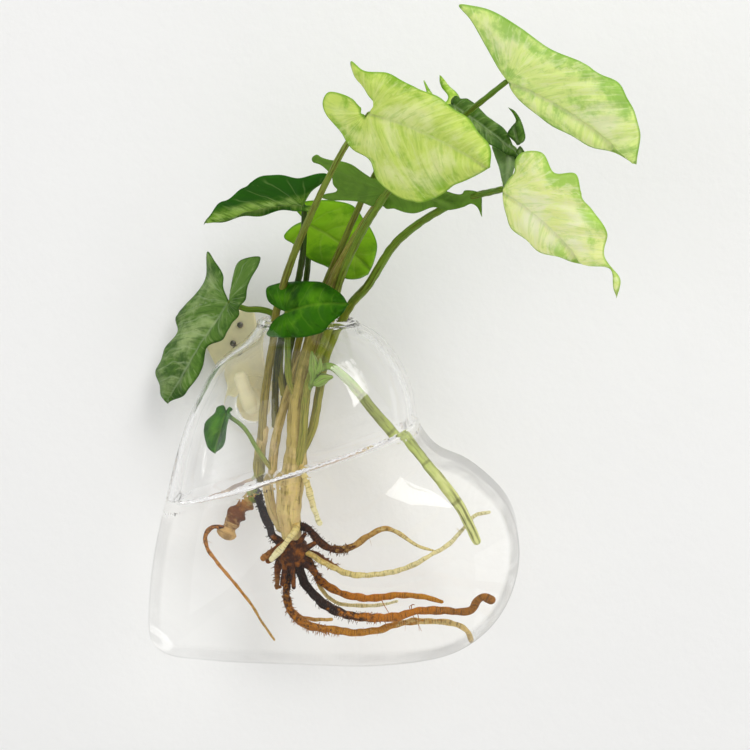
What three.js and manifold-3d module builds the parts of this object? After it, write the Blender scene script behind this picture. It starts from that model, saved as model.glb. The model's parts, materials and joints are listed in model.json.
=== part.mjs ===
// A heart shaped wall vase of clear blown glass, part filled with water, with a rooted cutting
// of an arrowhead plant. It hangs by the hole in its flat back on a hook that is pinned to a wall.
// Millimetres, +Z up, +X right along the wall, +Y into the wall. The origin is on the back face of
// the hook plate, straight behind the middle of the round peg that the vase hangs and turns on.
// Places on the vase and plant are written [across, out, up], from the middle of the hanging hole:
// across and up along the flat back as the heart stands upright, and out from that back.
import * as THREE from 'three';
import { mergeVertices } from 'three/addons/utils/BufferGeometryUtils.js';
import Module from 'manifold-3d';

const wasm = await Module();
wasm.setup();

// Driving sizes of the hook
const clearance = 0.3;
const plateThickness = 2.5;
const plateTopHalfWidth = 11;
const plateFootHalfWidth = 5.5;
const plateTop = 30;
const plateFoot = -10;
const plateCorner = 4;
const pegRadius = 2.5;
const pegDepth = 3.6;
const tongueThickness = 4;
const tongueRise = 10;
const tongueRounding = 1;
const pinHeadRadius = 1.1;
const pinHeadHeight = 0.7;
const pinShankRadius = 0.5;
const pinLength = 14;
const pinPointLength = 1.5;
const pinPointShare = 0.3;
const pinCrownShare = 0.6;
const pinPlaces = [[-4.6, 25], [4.6, 25], [0, 19.5]];

// Driving sizes of the glass
const wall = 2.5;
const fullDepth = 52;
const widestDepth = 22;
const backFillet = 9;
const domeRoundness = 2.4;
const holeRadius = 6.2;
const holeBeadRadius = 2.2;
const vaseTurn = 18.5;
const mouthHeight = 33;
const mouthAcross = 21.2;
const mouthOut = 18;
const mouthHalfWidth = 16.9;
const mouthHalfDepth = 14.4;
const neckSpread = 12;
const neckBackGap = 0.4;
const neckFoot = 13;
const lipRadius = 1.5;
const waterBelowPeg = 26.3;

// How the neck draws in from its foot upwards: [share of its height, share of its spread]
const neckSteps = [[0, 1], [0.55, 0.42], [0.88, 0.02]];

// Outline of the heart at its widest, from the lower left corner round the bottom, the right lobe,
// the cleft, the cut upper lobe and back down the left side
const heartMiddle = [24, -38];
const heartOutline = [
  [-30, -84.5], [-14, -87], [15, -88], [50, -87.8], [75, -82.2], [89, -69.5], [95.2, -50],
  [91.3, -31.5], [77, -17.6], [66, -12.5], [59.3, -3.5], [57.6, 6], [53.5, 16.5], [45, 27],
  [34, 31.8], [21, 32.6], [8, 30.6], [-2.3, 24.2], [-9.5, 18.5], [-15.8, 7.5], [-19.8, -1],
  [-23.8, -13], [-27.4, -27], [-32.4, -48.5], [-34.7, -68], [-34.2, -79.5],
];

// Driving sizes of the plant
const leafThickness = 0.7;
const lobeShare = 0.35;
const fullCupShare = 0.25;
const stemStep = 7;
const stemSides = 6;
const rootSides = 6;

// Fineness of the faceted surfaces
const outlineSides = 56;
const domeLevels = [0.995, 0.96, 0.88, 0.76, 0.6, 0.42, 0.22];
const filletLevels = [0, 0.35, 0.7];
const neckSides = 32;
const lipSides = 8;
const roundSides = 28;
const pinSides = 12;
const beadSides = 8;
const leafSteps = 9;
const leafColumns = 5;
const plateCornerSteps = 5;
const pegSteps = 12;
const tongueSteps = 8;
const tongueRoundingSteps = 3;
const crownSides = 12;
const crownRows = 9;
const fewestStemSteps = 3;
const mergeTolerance = 1e-4;
const smallestStep = 0.02;

// Sizes that follow from the driving ones
const turn = THREE.MathUtils.degToRad(vaseTurn);
const seatDrop = holeRadius - pegRadius - clearance;
const standOff = plateThickness + clearance + pinHeadHeight + clearance;
const holeBeadFront = 2 * holeBeadRadius + clearance;
const tongueBack = standOff + holeBeadFront + clearance;
const waterLevel = seatDrop - waterBelowPeg;
const neckSpreadOut = mouthOut - mouthHalfDepth - neckBackGap;

const colours = {
  hook: { color: 0xe9e6de, roughness: 0.45, metalness: 0 },
  steel: { color: 0x77736c, roughness: 0.35, metalness: 1 },
  glass: { color: 0xf4f8f6, roughness: 0.02, metalness: 0, transparent: true, opacity: 0.25 },
  water: { color: 0xe6efec, roughness: 0.02, metalness: 0, transparent: true, opacity: 0.3 },
  palestem: { color: 0xc7ae7c, roughness: 0.55, metalness: 0 },
  greenstem: { color: 0x8a9640, roughness: 0.5, metalness: 0 },
  lightleaf: { color: 0xb4d65a, roughness: 0.5, metalness: 0 },
  darkleaf: { color: 0x3f8a26, roughness: 0.42, metalness: 0 },
  greyleaf: { color: 0x5e8450, roughness: 0.5, metalness: 0 },
  orangeroot: { color: 0xb06c22, roughness: 0.6, metalness: 0 },
  darkroot: { color: 0x4a2c18, roughness: 0.7, metalness: 0 },
  paleroot: { color: 0xd8c088, roughness: 0.6, metalness: 0 },
};

const vase = new THREE.Group();
vase.position.set(0, -standOff, -seatDrop);
vase.rotation.y = turn;
const hook = new THREE.Group();
const group = new THREE.Group();
group.add(hook, vase);

function place([across, out, up]) {
  return new THREE.Vector3(across, -out, up);
}

// A closed geometry as a solid for cutting and joining
function solid(geometry) {
  const bare = geometry.clone();
  bare.deleteAttribute('normal');
  bare.deleteAttribute('uv');
  const merged = mergeVertices(bare, mergeTolerance);
  const corners = merged.index.array;
  const kept = [];
  for (let i = 0; i < corners.length; i += 3) {
    const [a, b, c] = corners.slice(i, i + 3);
    if (a !== b && b !== c && c !== a) kept.push(a, b, c);
  }
  return new wasm.Manifold(new wasm.Mesh({
    numProp: 3,
    vertProperties: Float32Array.from(merged.attributes.position.array),
    triVerts: Uint32Array.from(kept),
  }));
}

function largestBody(shape) {
  return shape.decompose().sort((a, b) => b.volume() - a.volume())[0];
}

function addPiece(parent, name, shape, colour) {
  const mesh = largestBody(shape).simplify(smallestStep).getMesh();
  const geometry = new THREE.BufferGeometry();
  geometry.setAttribute('position', new THREE.BufferAttribute(mesh.vertProperties, 3));
  geometry.setIndex(Array.from(mesh.triVerts));
  geometry.computeVertexNormals();
  const piece = new THREE.Mesh(geometry, new THREE.MeshStandardMaterial(colours[colour]));
  piece.name = name;
  parent.add(piece);
}

// A closed skin over a row of rings with the same number of points, with a fan over each end
function loft(rings, firstMiddle, lastMiddle) {
  const points = [...rings.flat(), firstMiddle, lastMiddle];
  const count = rings[0].length;
  const first = points.length - 2;
  const last = points.length - 1;
  const corners = [];
  for (let j = 0; j < count; j += 1) {
    const k = (j + 1) % count;
    corners.push(first, k, j);
    for (let i = 0; i + 1 < rings.length; i += 1) {
      const a = i * count;
      const b = a + count;
      corners.push(a + j, a + k, b + k, a + j, b + k, b + j);
    }
    const end = (rings.length - 1) * count;
    corners.push(end + j, end + k, last);
  }
  const geometry = new THREE.BufferGeometry().setFromPoints(points);
  geometry.setIndex(corners);
  return geometry;
}

// A solid from a loft whose rings may run either way round
function loftSolid(rings, firstMiddle, lastMiddle) {
  const shape = solid(loft(rings, firstMiddle, lastMiddle));
  if (shape.volume() > 0) return shape;
  return solid(loft(rings.map((ring) => [...ring].reverse()), firstMiddle, lastMiddle));
}

// The hook: a tapered plate, a round topped peg that stands out of it and an upturned tongue
function pillOutline(halfWidth, low, high) {
  const shape = new THREE.Shape();
  shape.absarc(0, high, halfWidth, 0, Math.PI);
  shape.absarc(0, low, halfWidth, Math.PI, 2 * Math.PI);
  return shape;
}

function plateOutline() {
  const corners = [
    [-plateFootHalfWidth, plateFoot],
    [plateFootHalfWidth, plateFoot],
    [plateTopHalfWidth, plateTop],
    [-plateTopHalfWidth, plateTop],
  ].map(([x, z]) => new THREE.Vector2(x, z));
  const shape = new THREE.Shape();
  corners.forEach((corner, i) => {
    const before = corners[(i + 3) % 4].clone().sub(corner).setLength(plateCorner).add(corner);
    const after = corners[(i + 1) % 4].clone().sub(corner).setLength(plateCorner).add(corner);
    if (i === 0) shape.moveTo(before.x, before.y);
    else shape.lineTo(before.x, before.y);
    shape.quadraticCurveTo(corner.x, corner.y, after.x, after.y);
  });
  shape.closePath();
  return shape;
}

function hookSolid() {
  const plate = new THREE.ExtrudeGeometry(plateOutline(), {
    depth: plateThickness, bevelEnabled: false, curveSegments: plateCornerSteps,
  }).rotateX(Math.PI / 2);
  const reach = tongueBack + tongueThickness;
  const peg = new THREE.ExtrudeGeometry(pillOutline(pegRadius, -pegDepth, 0), {
    depth: reach - plateThickness / 2, bevelEnabled: false, curveSegments: pegSteps,
  }).rotateX(Math.PI / 2).translate(0, -plateThickness / 2, 0);
  const tongueRadius = tongueThickness / 2;
  const tongueShape = pillOutline(tongueRadius, tongueRadius - pegRadius, pegRadius - tongueRadius);
  const tongue = new THREE.ExtrudeGeometry(tongueShape, {
    depth: tongueRise + pegDepth - tongueRounding,
    bevelEnabled: true,
    bevelThickness: tongueRounding,
    bevelSize: tongueRounding,
    bevelOffset: -tongueRounding,
    bevelSegments: tongueRoundingSteps,
    curveSegments: tongueSteps,
  }).rotateZ(Math.PI / 2).translate(0, -reach + tongueRadius, -pegDepth);
  return solid(plate).add(solid(peg)).add(solid(tongue));
}

function pinProfile(gap) {
  return [
    [0, -pinLength - gap],
    [pinShankRadius * pinPointShare + gap, -pinLength - gap],
    [pinShankRadius + gap, pinPointLength - pinLength - gap],
    [pinShankRadius + gap, clearance + gap],
    [pinHeadRadius, clearance + gap],
    [pinHeadRadius, clearance + pinHeadHeight * pinCrownShare],
    [pinHeadRadius * pinCrownShare, clearance + pinHeadHeight],
    [0, clearance + pinHeadHeight],
  ].map(([radius, out]) => new THREE.Vector2(radius, out));
}

function pinSolid(gap, [x, z]) {
  const shape = new THREE.LatheGeometry(pinProfile(gap), pinSides);
  return solid(shape.rotateX(Math.PI).translate(x, -plateThickness, z));
}

function pinBore([x, z]) {
  const radius = pinShankRadius + clearance;
  const bore = new THREE.CylinderGeometry(radius, radius, 3 * plateThickness, pinSides);
  return solid(bore.translate(x, -plateThickness / 2, z));
}

let hookPlate = hookSolid();
pinPlaces.forEach((spot) => { hookPlate = hookPlate.subtract(pinBore(spot)); });
addPiece(hook, 'wall_hook', hookPlate, 'hook');
pinPlaces.forEach((spot, i) => addPiece(hook, `wall_pin_${i + 1}`, pinSolid(0, spot), 'steel'));

// The glass body: the heart outline, drawn in to a flat back and domed out to a round front
function outlineAt(inset) {
  const curve = new THREE.CatmullRomCurve3(
    heartOutline.map(([across, up]) => new THREE.Vector3(across, 0, up)), true, 'centripetal',
  );
  const points = curve.getSpacedPoints(outlineSides).slice(0, outlineSides);
  return points.map((point, i) => {
    const before = points[(i + outlineSides - 1) % outlineSides];
    const after = points[(i + 1) % outlineSides];
    const along = after.clone().sub(before).normalize();
    return new THREE.Vector2(point.x - along.z * inset, point.z + along.x * inset);
  });
}

// An outline point drawn towards the heart's middle, at a distance out from the back
function drawnIn(point, share, out) {
  const [across, up] = heartMiddle;
  return place([across + (point.x - across) * share, out, up + (point.y - up) * share]);
}

function pillow(inset) {
  const outline = outlineAt(inset);
  const domeHeight = fullDepth - inset - widestDepth;
  const fillet = backFillet - inset;
  const middle = new THREE.Vector2(...heartMiddle);
  const backRings = filletLevels.map((level) => outline.map((point) => {
    const drawn = fillet * (1 - Math.sin(level * Math.PI / 2));
    const share = 1 - drawn / point.distanceTo(middle);
    return drawnIn(point, share, inset + fillet * (1 - Math.cos(level * Math.PI / 2)));
  }));
  const sideRings = [backFillet, widestDepth].map((out) => outline.map((point) => (
    drawnIn(point, 1, out))));
  const domeRings = domeLevels.map((share) => {
    const rise = (1 - share ** domeRoundness) ** (1 / domeRoundness);
    return outline.map((point) => drawnIn(point, share, widestDepth + domeHeight * rise));
  });
  return loftSolid(
    [...backRings, ...sideRings, ...domeRings],
    drawnIn(middle, 0, inset),
    drawnIn(middle, 0, fullDepth - inset),
  );
}

// The neck: ellipses that narrow upwards to the mouth, each [above its foot, wider, deeper]
function neckRing(height, wider, deeper) {
  const ring = [];
  for (let i = 0; i < neckSides; i += 1) {
    const angle = (i / neckSides) * 2 * Math.PI;
    ring.push(place([
      mouthAcross + (mouthHalfWidth + wider) * Math.cos(angle),
      mouthOut + (mouthHalfDepth + deeper) * Math.sin(angle),
      height,
    ]));
  }
  return ring;
}

function neck(inset, top) {
  const foot = mouthHeight - neckFoot;
  const rings = neckSteps.map(([rise, spread]) => neckRing(
    foot + neckFoot * rise, neckSpread * spread - inset, neckSpreadOut * spread - inset,
  ));
  rings.push(neckRing(top, -inset, -inset));
  return loftSolid(rings, place([mouthAcross, mouthOut, foot]), place([mouthAcross, mouthOut, top]));
}

function ringOfBeads(centres, radius, sides) {
  const beads = centres.map((centre, i) => {
    const next = centres[(i + 1) % centres.length];
    const before = centres[(i + centres.length - 1) % centres.length];
    const along = next.clone().sub(before).normalize();
    const up = new THREE.Vector3(0, 0, 1);
    const side = new THREE.Vector3().crossVectors(along, up).normalize();
    const ring = [];
    for (let k = 0; k < sides; k += 1) {
      const angle = (k / sides) * 2 * Math.PI;
      ring.push(centre.clone()
        .addScaledVector(side, radius * Math.cos(angle))
        .addScaledVector(up, radius * Math.sin(angle)));
    }
    return ring;
  });
  const geometry = new THREE.BufferGeometry().setFromPoints(beads.flat());
  const corners = [];
  for (let i = 0; i < beads.length; i += 1) {
    for (let k = 0; k < sides; k += 1) {
      const a = i * sides + k;
      const b = i * sides + (k + 1) % sides;
      const c = ((i + 1) % beads.length) * sides + (k + 1) % sides;
      const d = ((i + 1) % beads.length) * sides + k;
      corners.push(a, b, c, a, c, d);
    }
  }
  geometry.setIndex(corners);
  return solid(geometry);
}

function backHoleBead() {
  const profile = [];
  for (let i = 0; i <= beadSides; i += 1) {
    const angle = (i / beadSides) * 2 * Math.PI;
    profile.push(new THREE.Vector2(
      holeRadius + holeBeadRadius * (1 + Math.cos(angle)),
      holeBeadRadius * Math.sin(angle),
    ));
  }
  const bead = new THREE.LatheGeometry(profile, roundSides);
  return solid(bead.translate(0, -holeBeadRadius - clearance, 0));
}

function cylinderOut(radius, from, to) {
  const shape = new THREE.CylinderGeometry(radius, radius, to - from, roundSides);
  return solid(shape.translate(0, -(from + to) / 2, 0));
}

const rim = neckRing(mouthHeight - lipRadius, -wall / 2, -wall / 2);
const lip = ringOfBeads(rim, lipRadius, lipSides);
const cavity = pillow(wall).add(neck(wall, mouthHeight + wall));
const glass = pillow(0)
  .add(neck(0, mouthHeight - lipRadius))
  .subtract(cavity)
  .add(lip)
  .add(backHoleBead())
  .subtract(cylinderOut(holeRadius, -wall, holeBeadRadius + wall * 2));
addPiece(vase, 'glass_vase', glass, 'glass');

// A tapering round shape along a smooth route, with its radii spread evenly from start to end
function sweep(points, radii, sides, extra) {
  const curve = new THREE.CatmullRomCurve3(points.map(place), false, 'centripetal');
  const steps = Math.max(fewestStemSteps, Math.round(curve.getLength() / stemStep));
  const frames = curve.computeFrenetFrames(steps, false);
  const rings = [];
  for (let i = 0; i <= steps; i += 1) {
    const share = (i / steps) * (radii.length - 1);
    const whole = Math.min(Math.floor(share), radii.length - 2);
    const radius = THREE.MathUtils.lerp(radii[whole], radii[whole + 1], share - whole) + extra;
    const centre = curve.getPointAt(i / steps);
    if (i === 0) centre.addScaledVector(frames.tangents[0], -extra);
    if (i === steps) centre.addScaledVector(frames.tangents[steps], extra);
    const ring = [];
    for (let k = 0; k < sides; k += 1) {
      const angle = (k / sides) * 2 * Math.PI;
      ring.push(centre.clone()
        .addScaledVector(frames.normals[i], radius * Math.cos(angle))
        .addScaledVector(frames.binormals[i], radius * Math.sin(angle)));
    }
    rings.push(ring);
  }
  const start = rings[0].reduce((sum, p) => sum.add(p), new THREE.Vector3()).divideScalar(sides);
  const end = rings[steps].reduce((sum, p) => sum.add(p), new THREE.Vector3()).divideScalar(sides);
  return loftSolid(rings, start, end);
}

// One side of an arrowhead leaf, from its notch round the lobe and along the margin to the tip
function leafSide(leaf, lobe, wide) {
  const margin = new THREE.CatmullRomCurve3(
    [leaf.base, lobe, wide, leaf.tip].map(place), false, 'centripetal',
  ).getPoints(leafSteps);
  const base = place(leaf.base);
  const tip = place(leaf.tip);
  const crown = base.clone().lerp(tip, 0.5).add(place(leaf.arch));
  const rib = new THREE.QuadraticBezierCurve3(base, crown, tip);
  return margin.map((edge, i) => {
    const along = Math.max(0, (i / leafSteps - lobeShare) / (1 - lobeShare));
    const inner = rib.getPoint(along);
    const middle = inner.clone().lerp(edge, 0.5);
    return { inner, middle, edge };
  });
}

function leafSolid(leaf, extra) {
  const base = place(leaf.base);
  const length = place(leaf.tip).sub(base);
  const width = place(leaf.rightSide).sub(place(leaf.leftSide));
  const face = new THREE.Vector3().crossVectors(length, width).normalize();
  const half = leafThickness / 2 + extra;
  const left = leafSide(leaf, leaf.leftLobe, leaf.leftSide);
  const right = leafSide(leaf, leaf.rightLobe, leaf.rightSide);
  const rows = left.map((station, i) => [
    station.edge, station.middle, station.inner, right[i].middle, right[i].edge,
  ]);
  const points = [];
  const ribColumn = (leafColumns - 1) / 2;
  const cupWidth = width.length() * fullCupShare;
  rows.forEach((row) => row.forEach((point, j) => {
    const reach = point.distanceTo(row[ribColumn]);
    const lift = Math.abs(j - ribColumn) === 1 ? leaf.cup * Math.min(1, reach / cupWidth) : 0;
    points.push(point.clone().addScaledVector(face, lift + half));
    points.push(point.clone().addScaledVector(face, lift - half));
  }));
  const lastColumn = leafColumns - 1;
  const at = (i, j, under) => (i * leafColumns + j) * 2 + under;
  const corners = [];
  for (let i = 0; i + 1 < rows.length; i += 1) {
    for (let j = 0; j < lastColumn; j += 1) {
      const [a, b, c, d] = [at(i, j, 0), at(i + 1, j, 0), at(i + 1, j + 1, 0), at(i, j + 1, 0)];
      corners.push(a, b, c, a, c, d);
      corners.push(a + 1, c + 1, b + 1, a + 1, d + 1, c + 1);
    }
    corners.push(at(i, 0, 0), at(i, 0, 1), at(i + 1, 0, 1));
    corners.push(at(i, 0, 0), at(i + 1, 0, 1), at(i + 1, 0, 0));
    corners.push(at(i, lastColumn, 0), at(i + 1, lastColumn, 1), at(i, lastColumn, 1));
    corners.push(at(i, lastColumn, 0), at(i + 1, lastColumn, 0), at(i + 1, lastColumn, 1));
  }
  const geometry = new THREE.BufferGeometry().setFromPoints(points);
  geometry.setIndex(corners);
  const shape = solid(geometry);
  if (shape.volume() > 0) return shape;
  const flipped = [];
  for (let i = 0; i < corners.length; i += 3) flipped.push(corners[i], corners[i + 2], corners[i + 1]);
  geometry.setIndex(flipped);
  return solid(geometry);
}

// The leaves: base is where the stalk meets the blade, and the two lobes reach back past it
const leaves = {
  leaf_top_right: {
    base: [88.5, 104, 113.5], tip: [126.5, 106, 89], arch: [2, 3, 4], cup: 1.5,
    leftLobe: [73.5, 96, 135.5], leftSide: [112, 112, 117.5],
    rightLobe: [91.5, 100, 108.5], rightSide: [107.5, 98, 97], colour: 'lightleaf',
  },
  leaf_front: {
    base: [47, 90, 104], tip: [83.5, 104, 88], arch: [0, 4, 3], cup: 1.5,
    leftLobe: [41.5, 97, 119], leftSide: [64, 104, 110.5],
    rightLobe: [32, 82, 107], rightSide: [56, 88, 78], colour: 'lightleaf',
  },
  leaf_right: {
    base: [87.5, 90, 81], tip: [121.5, 98, 49], arch: [2, 4, 3], cup: 1.5,
    leftLobe: [93.5, 96, 92.5], leftSide: [113.5, 106, 77],
    rightLobe: [89, 88, 71], rightSide: [105, 92, 60], colour: 'lightleaf',
  },
  leaf_folded: {
    base: [72, 80, 101], tip: [89.5, 86, 82], arch: [1, 0, 1], cup: 0.8,
    leftLobe: [75.5, 76, 104], leftSide: [90, 74, 97],
    rightLobe: [71.5, 86, 99], rightSide: [82.5, 92, 91], colour: 'greyleaf',
  },
  leaf_upright: {
    base: [66, 72, 105.5], tip: [67.5, 64, 115.5], arch: [0, 1, 0], cup: 0.5,
    leftLobe: [62, 76, 102.5], leftSide: [63, 68, 113.5],
    rightLobe: [71.5, 76, 100], rightSide: [73, 68, 109], colour: 'lightleaf',
  },
  leaf_under: {
    base: [50.5, 64, 78.5], tip: [81.5, 77, 72.5], arch: [0, 0, 3], cup: 1,
    leftLobe: [26.5, 58, 89.5], leftSide: [63.5, 78, 92.5],
    rightLobe: [37.5, 56, 75.5], rightSide: [64.5, 71, 76.5], colour: 'greyleaf',
  },
  leaf_left_dark: {
    base: [23, 47, 74], tip: [-11.5, 38, 66.5], arch: [0, 2, 5], cup: 1,
    leftLobe: [25.3, 47, 71], leftSide: [8, 36, 71],
    rightLobe: [30.5, 50, 84.5], rightSide: [8.5, 48, 83.5], colour: 'darkleaf',
  },
  leaf_backlit: {
    base: [22.3, 33, 67.2], tip: [43.5, 29, 51.4], arch: [1, 0, 2], cup: 1,
    leftLobe: [18.8, 31, 71.6], leftSide: [40.6, 33, 69.3],
    rightLobe: [14.8, 31, 63.2], rightSide: [27.1, 29, 53.3], colour: 'lightleaf',
  },
  leaf_mouth: {
    base: [16, 34, 37], tip: [38, 50, 41.5], arch: [0, 3, 3], cup: 1.2,
    leftLobe: [9, 38, 45.5], leftSide: [27, 44, 48],
    rightLobe: [10.5, 38, 29.5], rightSide: [27.5, 46, 31.5], colour: 'darkleaf',
  },
  leaf_left_grey: {
    base: [-5, 22, 39], tip: [-28.5, 14, 2], arch: [-2, 3, 0], cup: 1,
    leftLobe: [5.5, 30, 55], leftSide: [-6.5, 28, 27.5],
    rightLobe: [-13.5, 12, 54.5], rightSide: [-30, 8, 21], colour: 'greyleaf',
  },
  leaf_inside: {
    base: [-7.5, 18, -0.5], tip: [-11, 21, -14.5], arch: [0, 1, 0], cup: 0.6,
    leftLobe: [-6, 21, 1], leftSide: [-6.5, 22, -7],
    rightLobe: [-9.5, 15, 2], rightSide: [-15.5, 16, -7], colour: 'darkleaf',
  },
};

// The stems: route from foot to top, radii spread along it, and the leaf that each one carries
const stems = {
  main_stem: {
    route: [[17, 24, -42], [16, 24, -33], [16.5, 23.5, -23], [18, 23, -9], [18, 23, 0], [20, 22, 13],
      [23.5, 20.5, 26.5], [28.5, 27, 40.5], [37.5, 43, 59], [46, 57, 72], [50, 63, 77.5]],
    radii: [3.4, 4.5, 3.6, 2.9, 2.8, 2, 1.5, 1.3, 1.1], leaf: 'leaf_under', colour: 'palestem',
  },
  second_stem: {
    route: [[13, 20, -39], [10, 16.5, -33], [8.5, 16, -21.5], [10, 16, -8], [12.5, 15, 1.5],
      [16.5, 15, 13.5], [21.5, 15, 24.5], [28, 26, 43], [38, 44, 60.5], [47, 56, 74], [60, 70, 90],
      [71, 79.5, 100.5]],
    radii: [1.7, 1.6, 1.5, 1.5, 1.4, 1.3, 1, 0.9], leaf: 'leaf_folded', colour: 'palestem',
  },
  rear_stem: {
    route: [[5.5, 14, -7], [3.5, 13.5, -19], [4, 12.5, -30]],
    radii: [1.8, 2.1, 2], colour: 'palestem',
  },
  stalk_top_right: {
    route: [[18, 25, -20], [20.5, 28, -6], [21, 27.5, 2], [22.5, 27, 12], [28.5, 24.5, 28],
      [31, 26.5, 38], [33.5, 34, 47], [40, 49, 61], [48, 65, 74], [60, 84, 89], [75, 93, 102.5],
      [88, 103.5, 113]],
    radii: [1.5, 1.4, 1.3, 1.2, 1, 0.8], leaf: 'leaf_top_right', colour: 'greenstem',
  },
  stalk_front: {
    route: [[4.5, 14, -14], [5, 14.5, -6], [6, 14.5, 5.5], [9, 16, 24.5], [10.5, 21, 33.5], [15, 34, 47],
      [23.5, 52, 66], [39.5, 79, 94.5], [47, 89, 103.5]],
    radii: [1.5, 1.4, 1.3, 1.2, 1, 0.9], leaf: 'leaf_front', colour: 'greenstem',
  },
  stalk_right: {
    route: [[20, 24.5, -12], [23.5, 24, -4], [25.5, 22.5, 7.5], [28, 20.5, 20.5], [33, 19, 32],
      [37, 24, 39], [43, 34, 46], [54, 49, 62.5], [72, 67, 75.5], [87, 89.5, 81]],
    radii: [1.5, 1.5, 1.5, 1.4, 1.2, 1], leaf: 'leaf_right', colour: 'greenstem',
  },
  stalk_upright: {
    route: [[16, 20.5, -4], [15, 13.5, 4], [17, 11, 22], [21, 13, 33], [26.5, 24, 42.5],
      [35.5, 41, 61.5], [50, 60, 89], [65.5, 71.5, 105]],
    radii: [1.2, 1.2, 1.1, 1, 0.8], leaf: 'leaf_upright', colour: 'greenstem',
  },
  stalk_left_dark: {
    route: [[9.5, 15, -5], [9, 10.5, 4.5], [10, 11, 18.5], [13, 15, 30], [16, 20, 37], [19, 30, 46],
      [22, 41, 58.5], [23, 46, 73]],
    radii: [1.3, 1.2, 1.2, 1.1, 0.9], leaf: 'leaf_left_dark', colour: 'greenstem',
  },
  stalk_backlit: {
    route: [[11.5, 15, -2], [12.5, 10, 5], [14, 10, 20], [17, 13, 32], [20, 19, 42], [22, 24, 53.5],
      [22.5, 32, 66.5]],
    radii: [1.2, 1.1, 1.1, 1, 0.9], leaf: 'leaf_backlit', colour: 'greenstem',
  },
  stalk_mouth: {
    route: [[18, 22.5, 5], [15.5, 24, 12], [15, 24, 24], [15, 25.5, 33], [15.5, 30, 37], [16, 34, 37]],
    radii: [1.2, 1.1, 1], leaf: 'leaf_mouth', colour: 'greenstem',
  },
  stalk_left_grey: {
    route: [[12.5, 14.5, 6], [10.5, 8.5, 14], [11, 10, 24], [11, 13, 30], [9.5, 15.5, 34],
      [5.5, 17.5, 36], [0, 19.5, 36.5], [-5, 22, 39]],
    radii: [1.2, 1.2, 1.1, 1], leaf: 'leaf_left_grey', colour: 'greenstem',
  },
  stalk_inside: {
    route: [[8.5, 16.5, -21], [3.5, 18.5, -13], [-1, 19, -5.5], [-7, 18, -1]],
    radii: [0.9, 0.8, 0.7], leaf: 'leaf_inside', colour: 'greenstem',
  },
  shoot_bud: {
    route: [[22, 27, 9], [24.5, 29.5, 12], [26, 31, 16.5], [25, 32, 22]],
    radii: [0.8, 1, 2, 0.6], colour: 'greenstem',
  },
  shoot_stalk: {
    route: [[26, 31, 17], [30, 30.5, 18], [37.5, 29, 11.5], [45, 28, 2], [52, 27.5, -6],
      [58.5, 28, -13.5], [63, 29.5, -18.5], [68, 31, -24], [73.5, 32, -31], [79, 33, -41]],
    radii: [1.2, 1.6, 1.9, 1.9, 1.9, 1.7, 0.8], colour: 'greenstem',
  },
};

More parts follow.
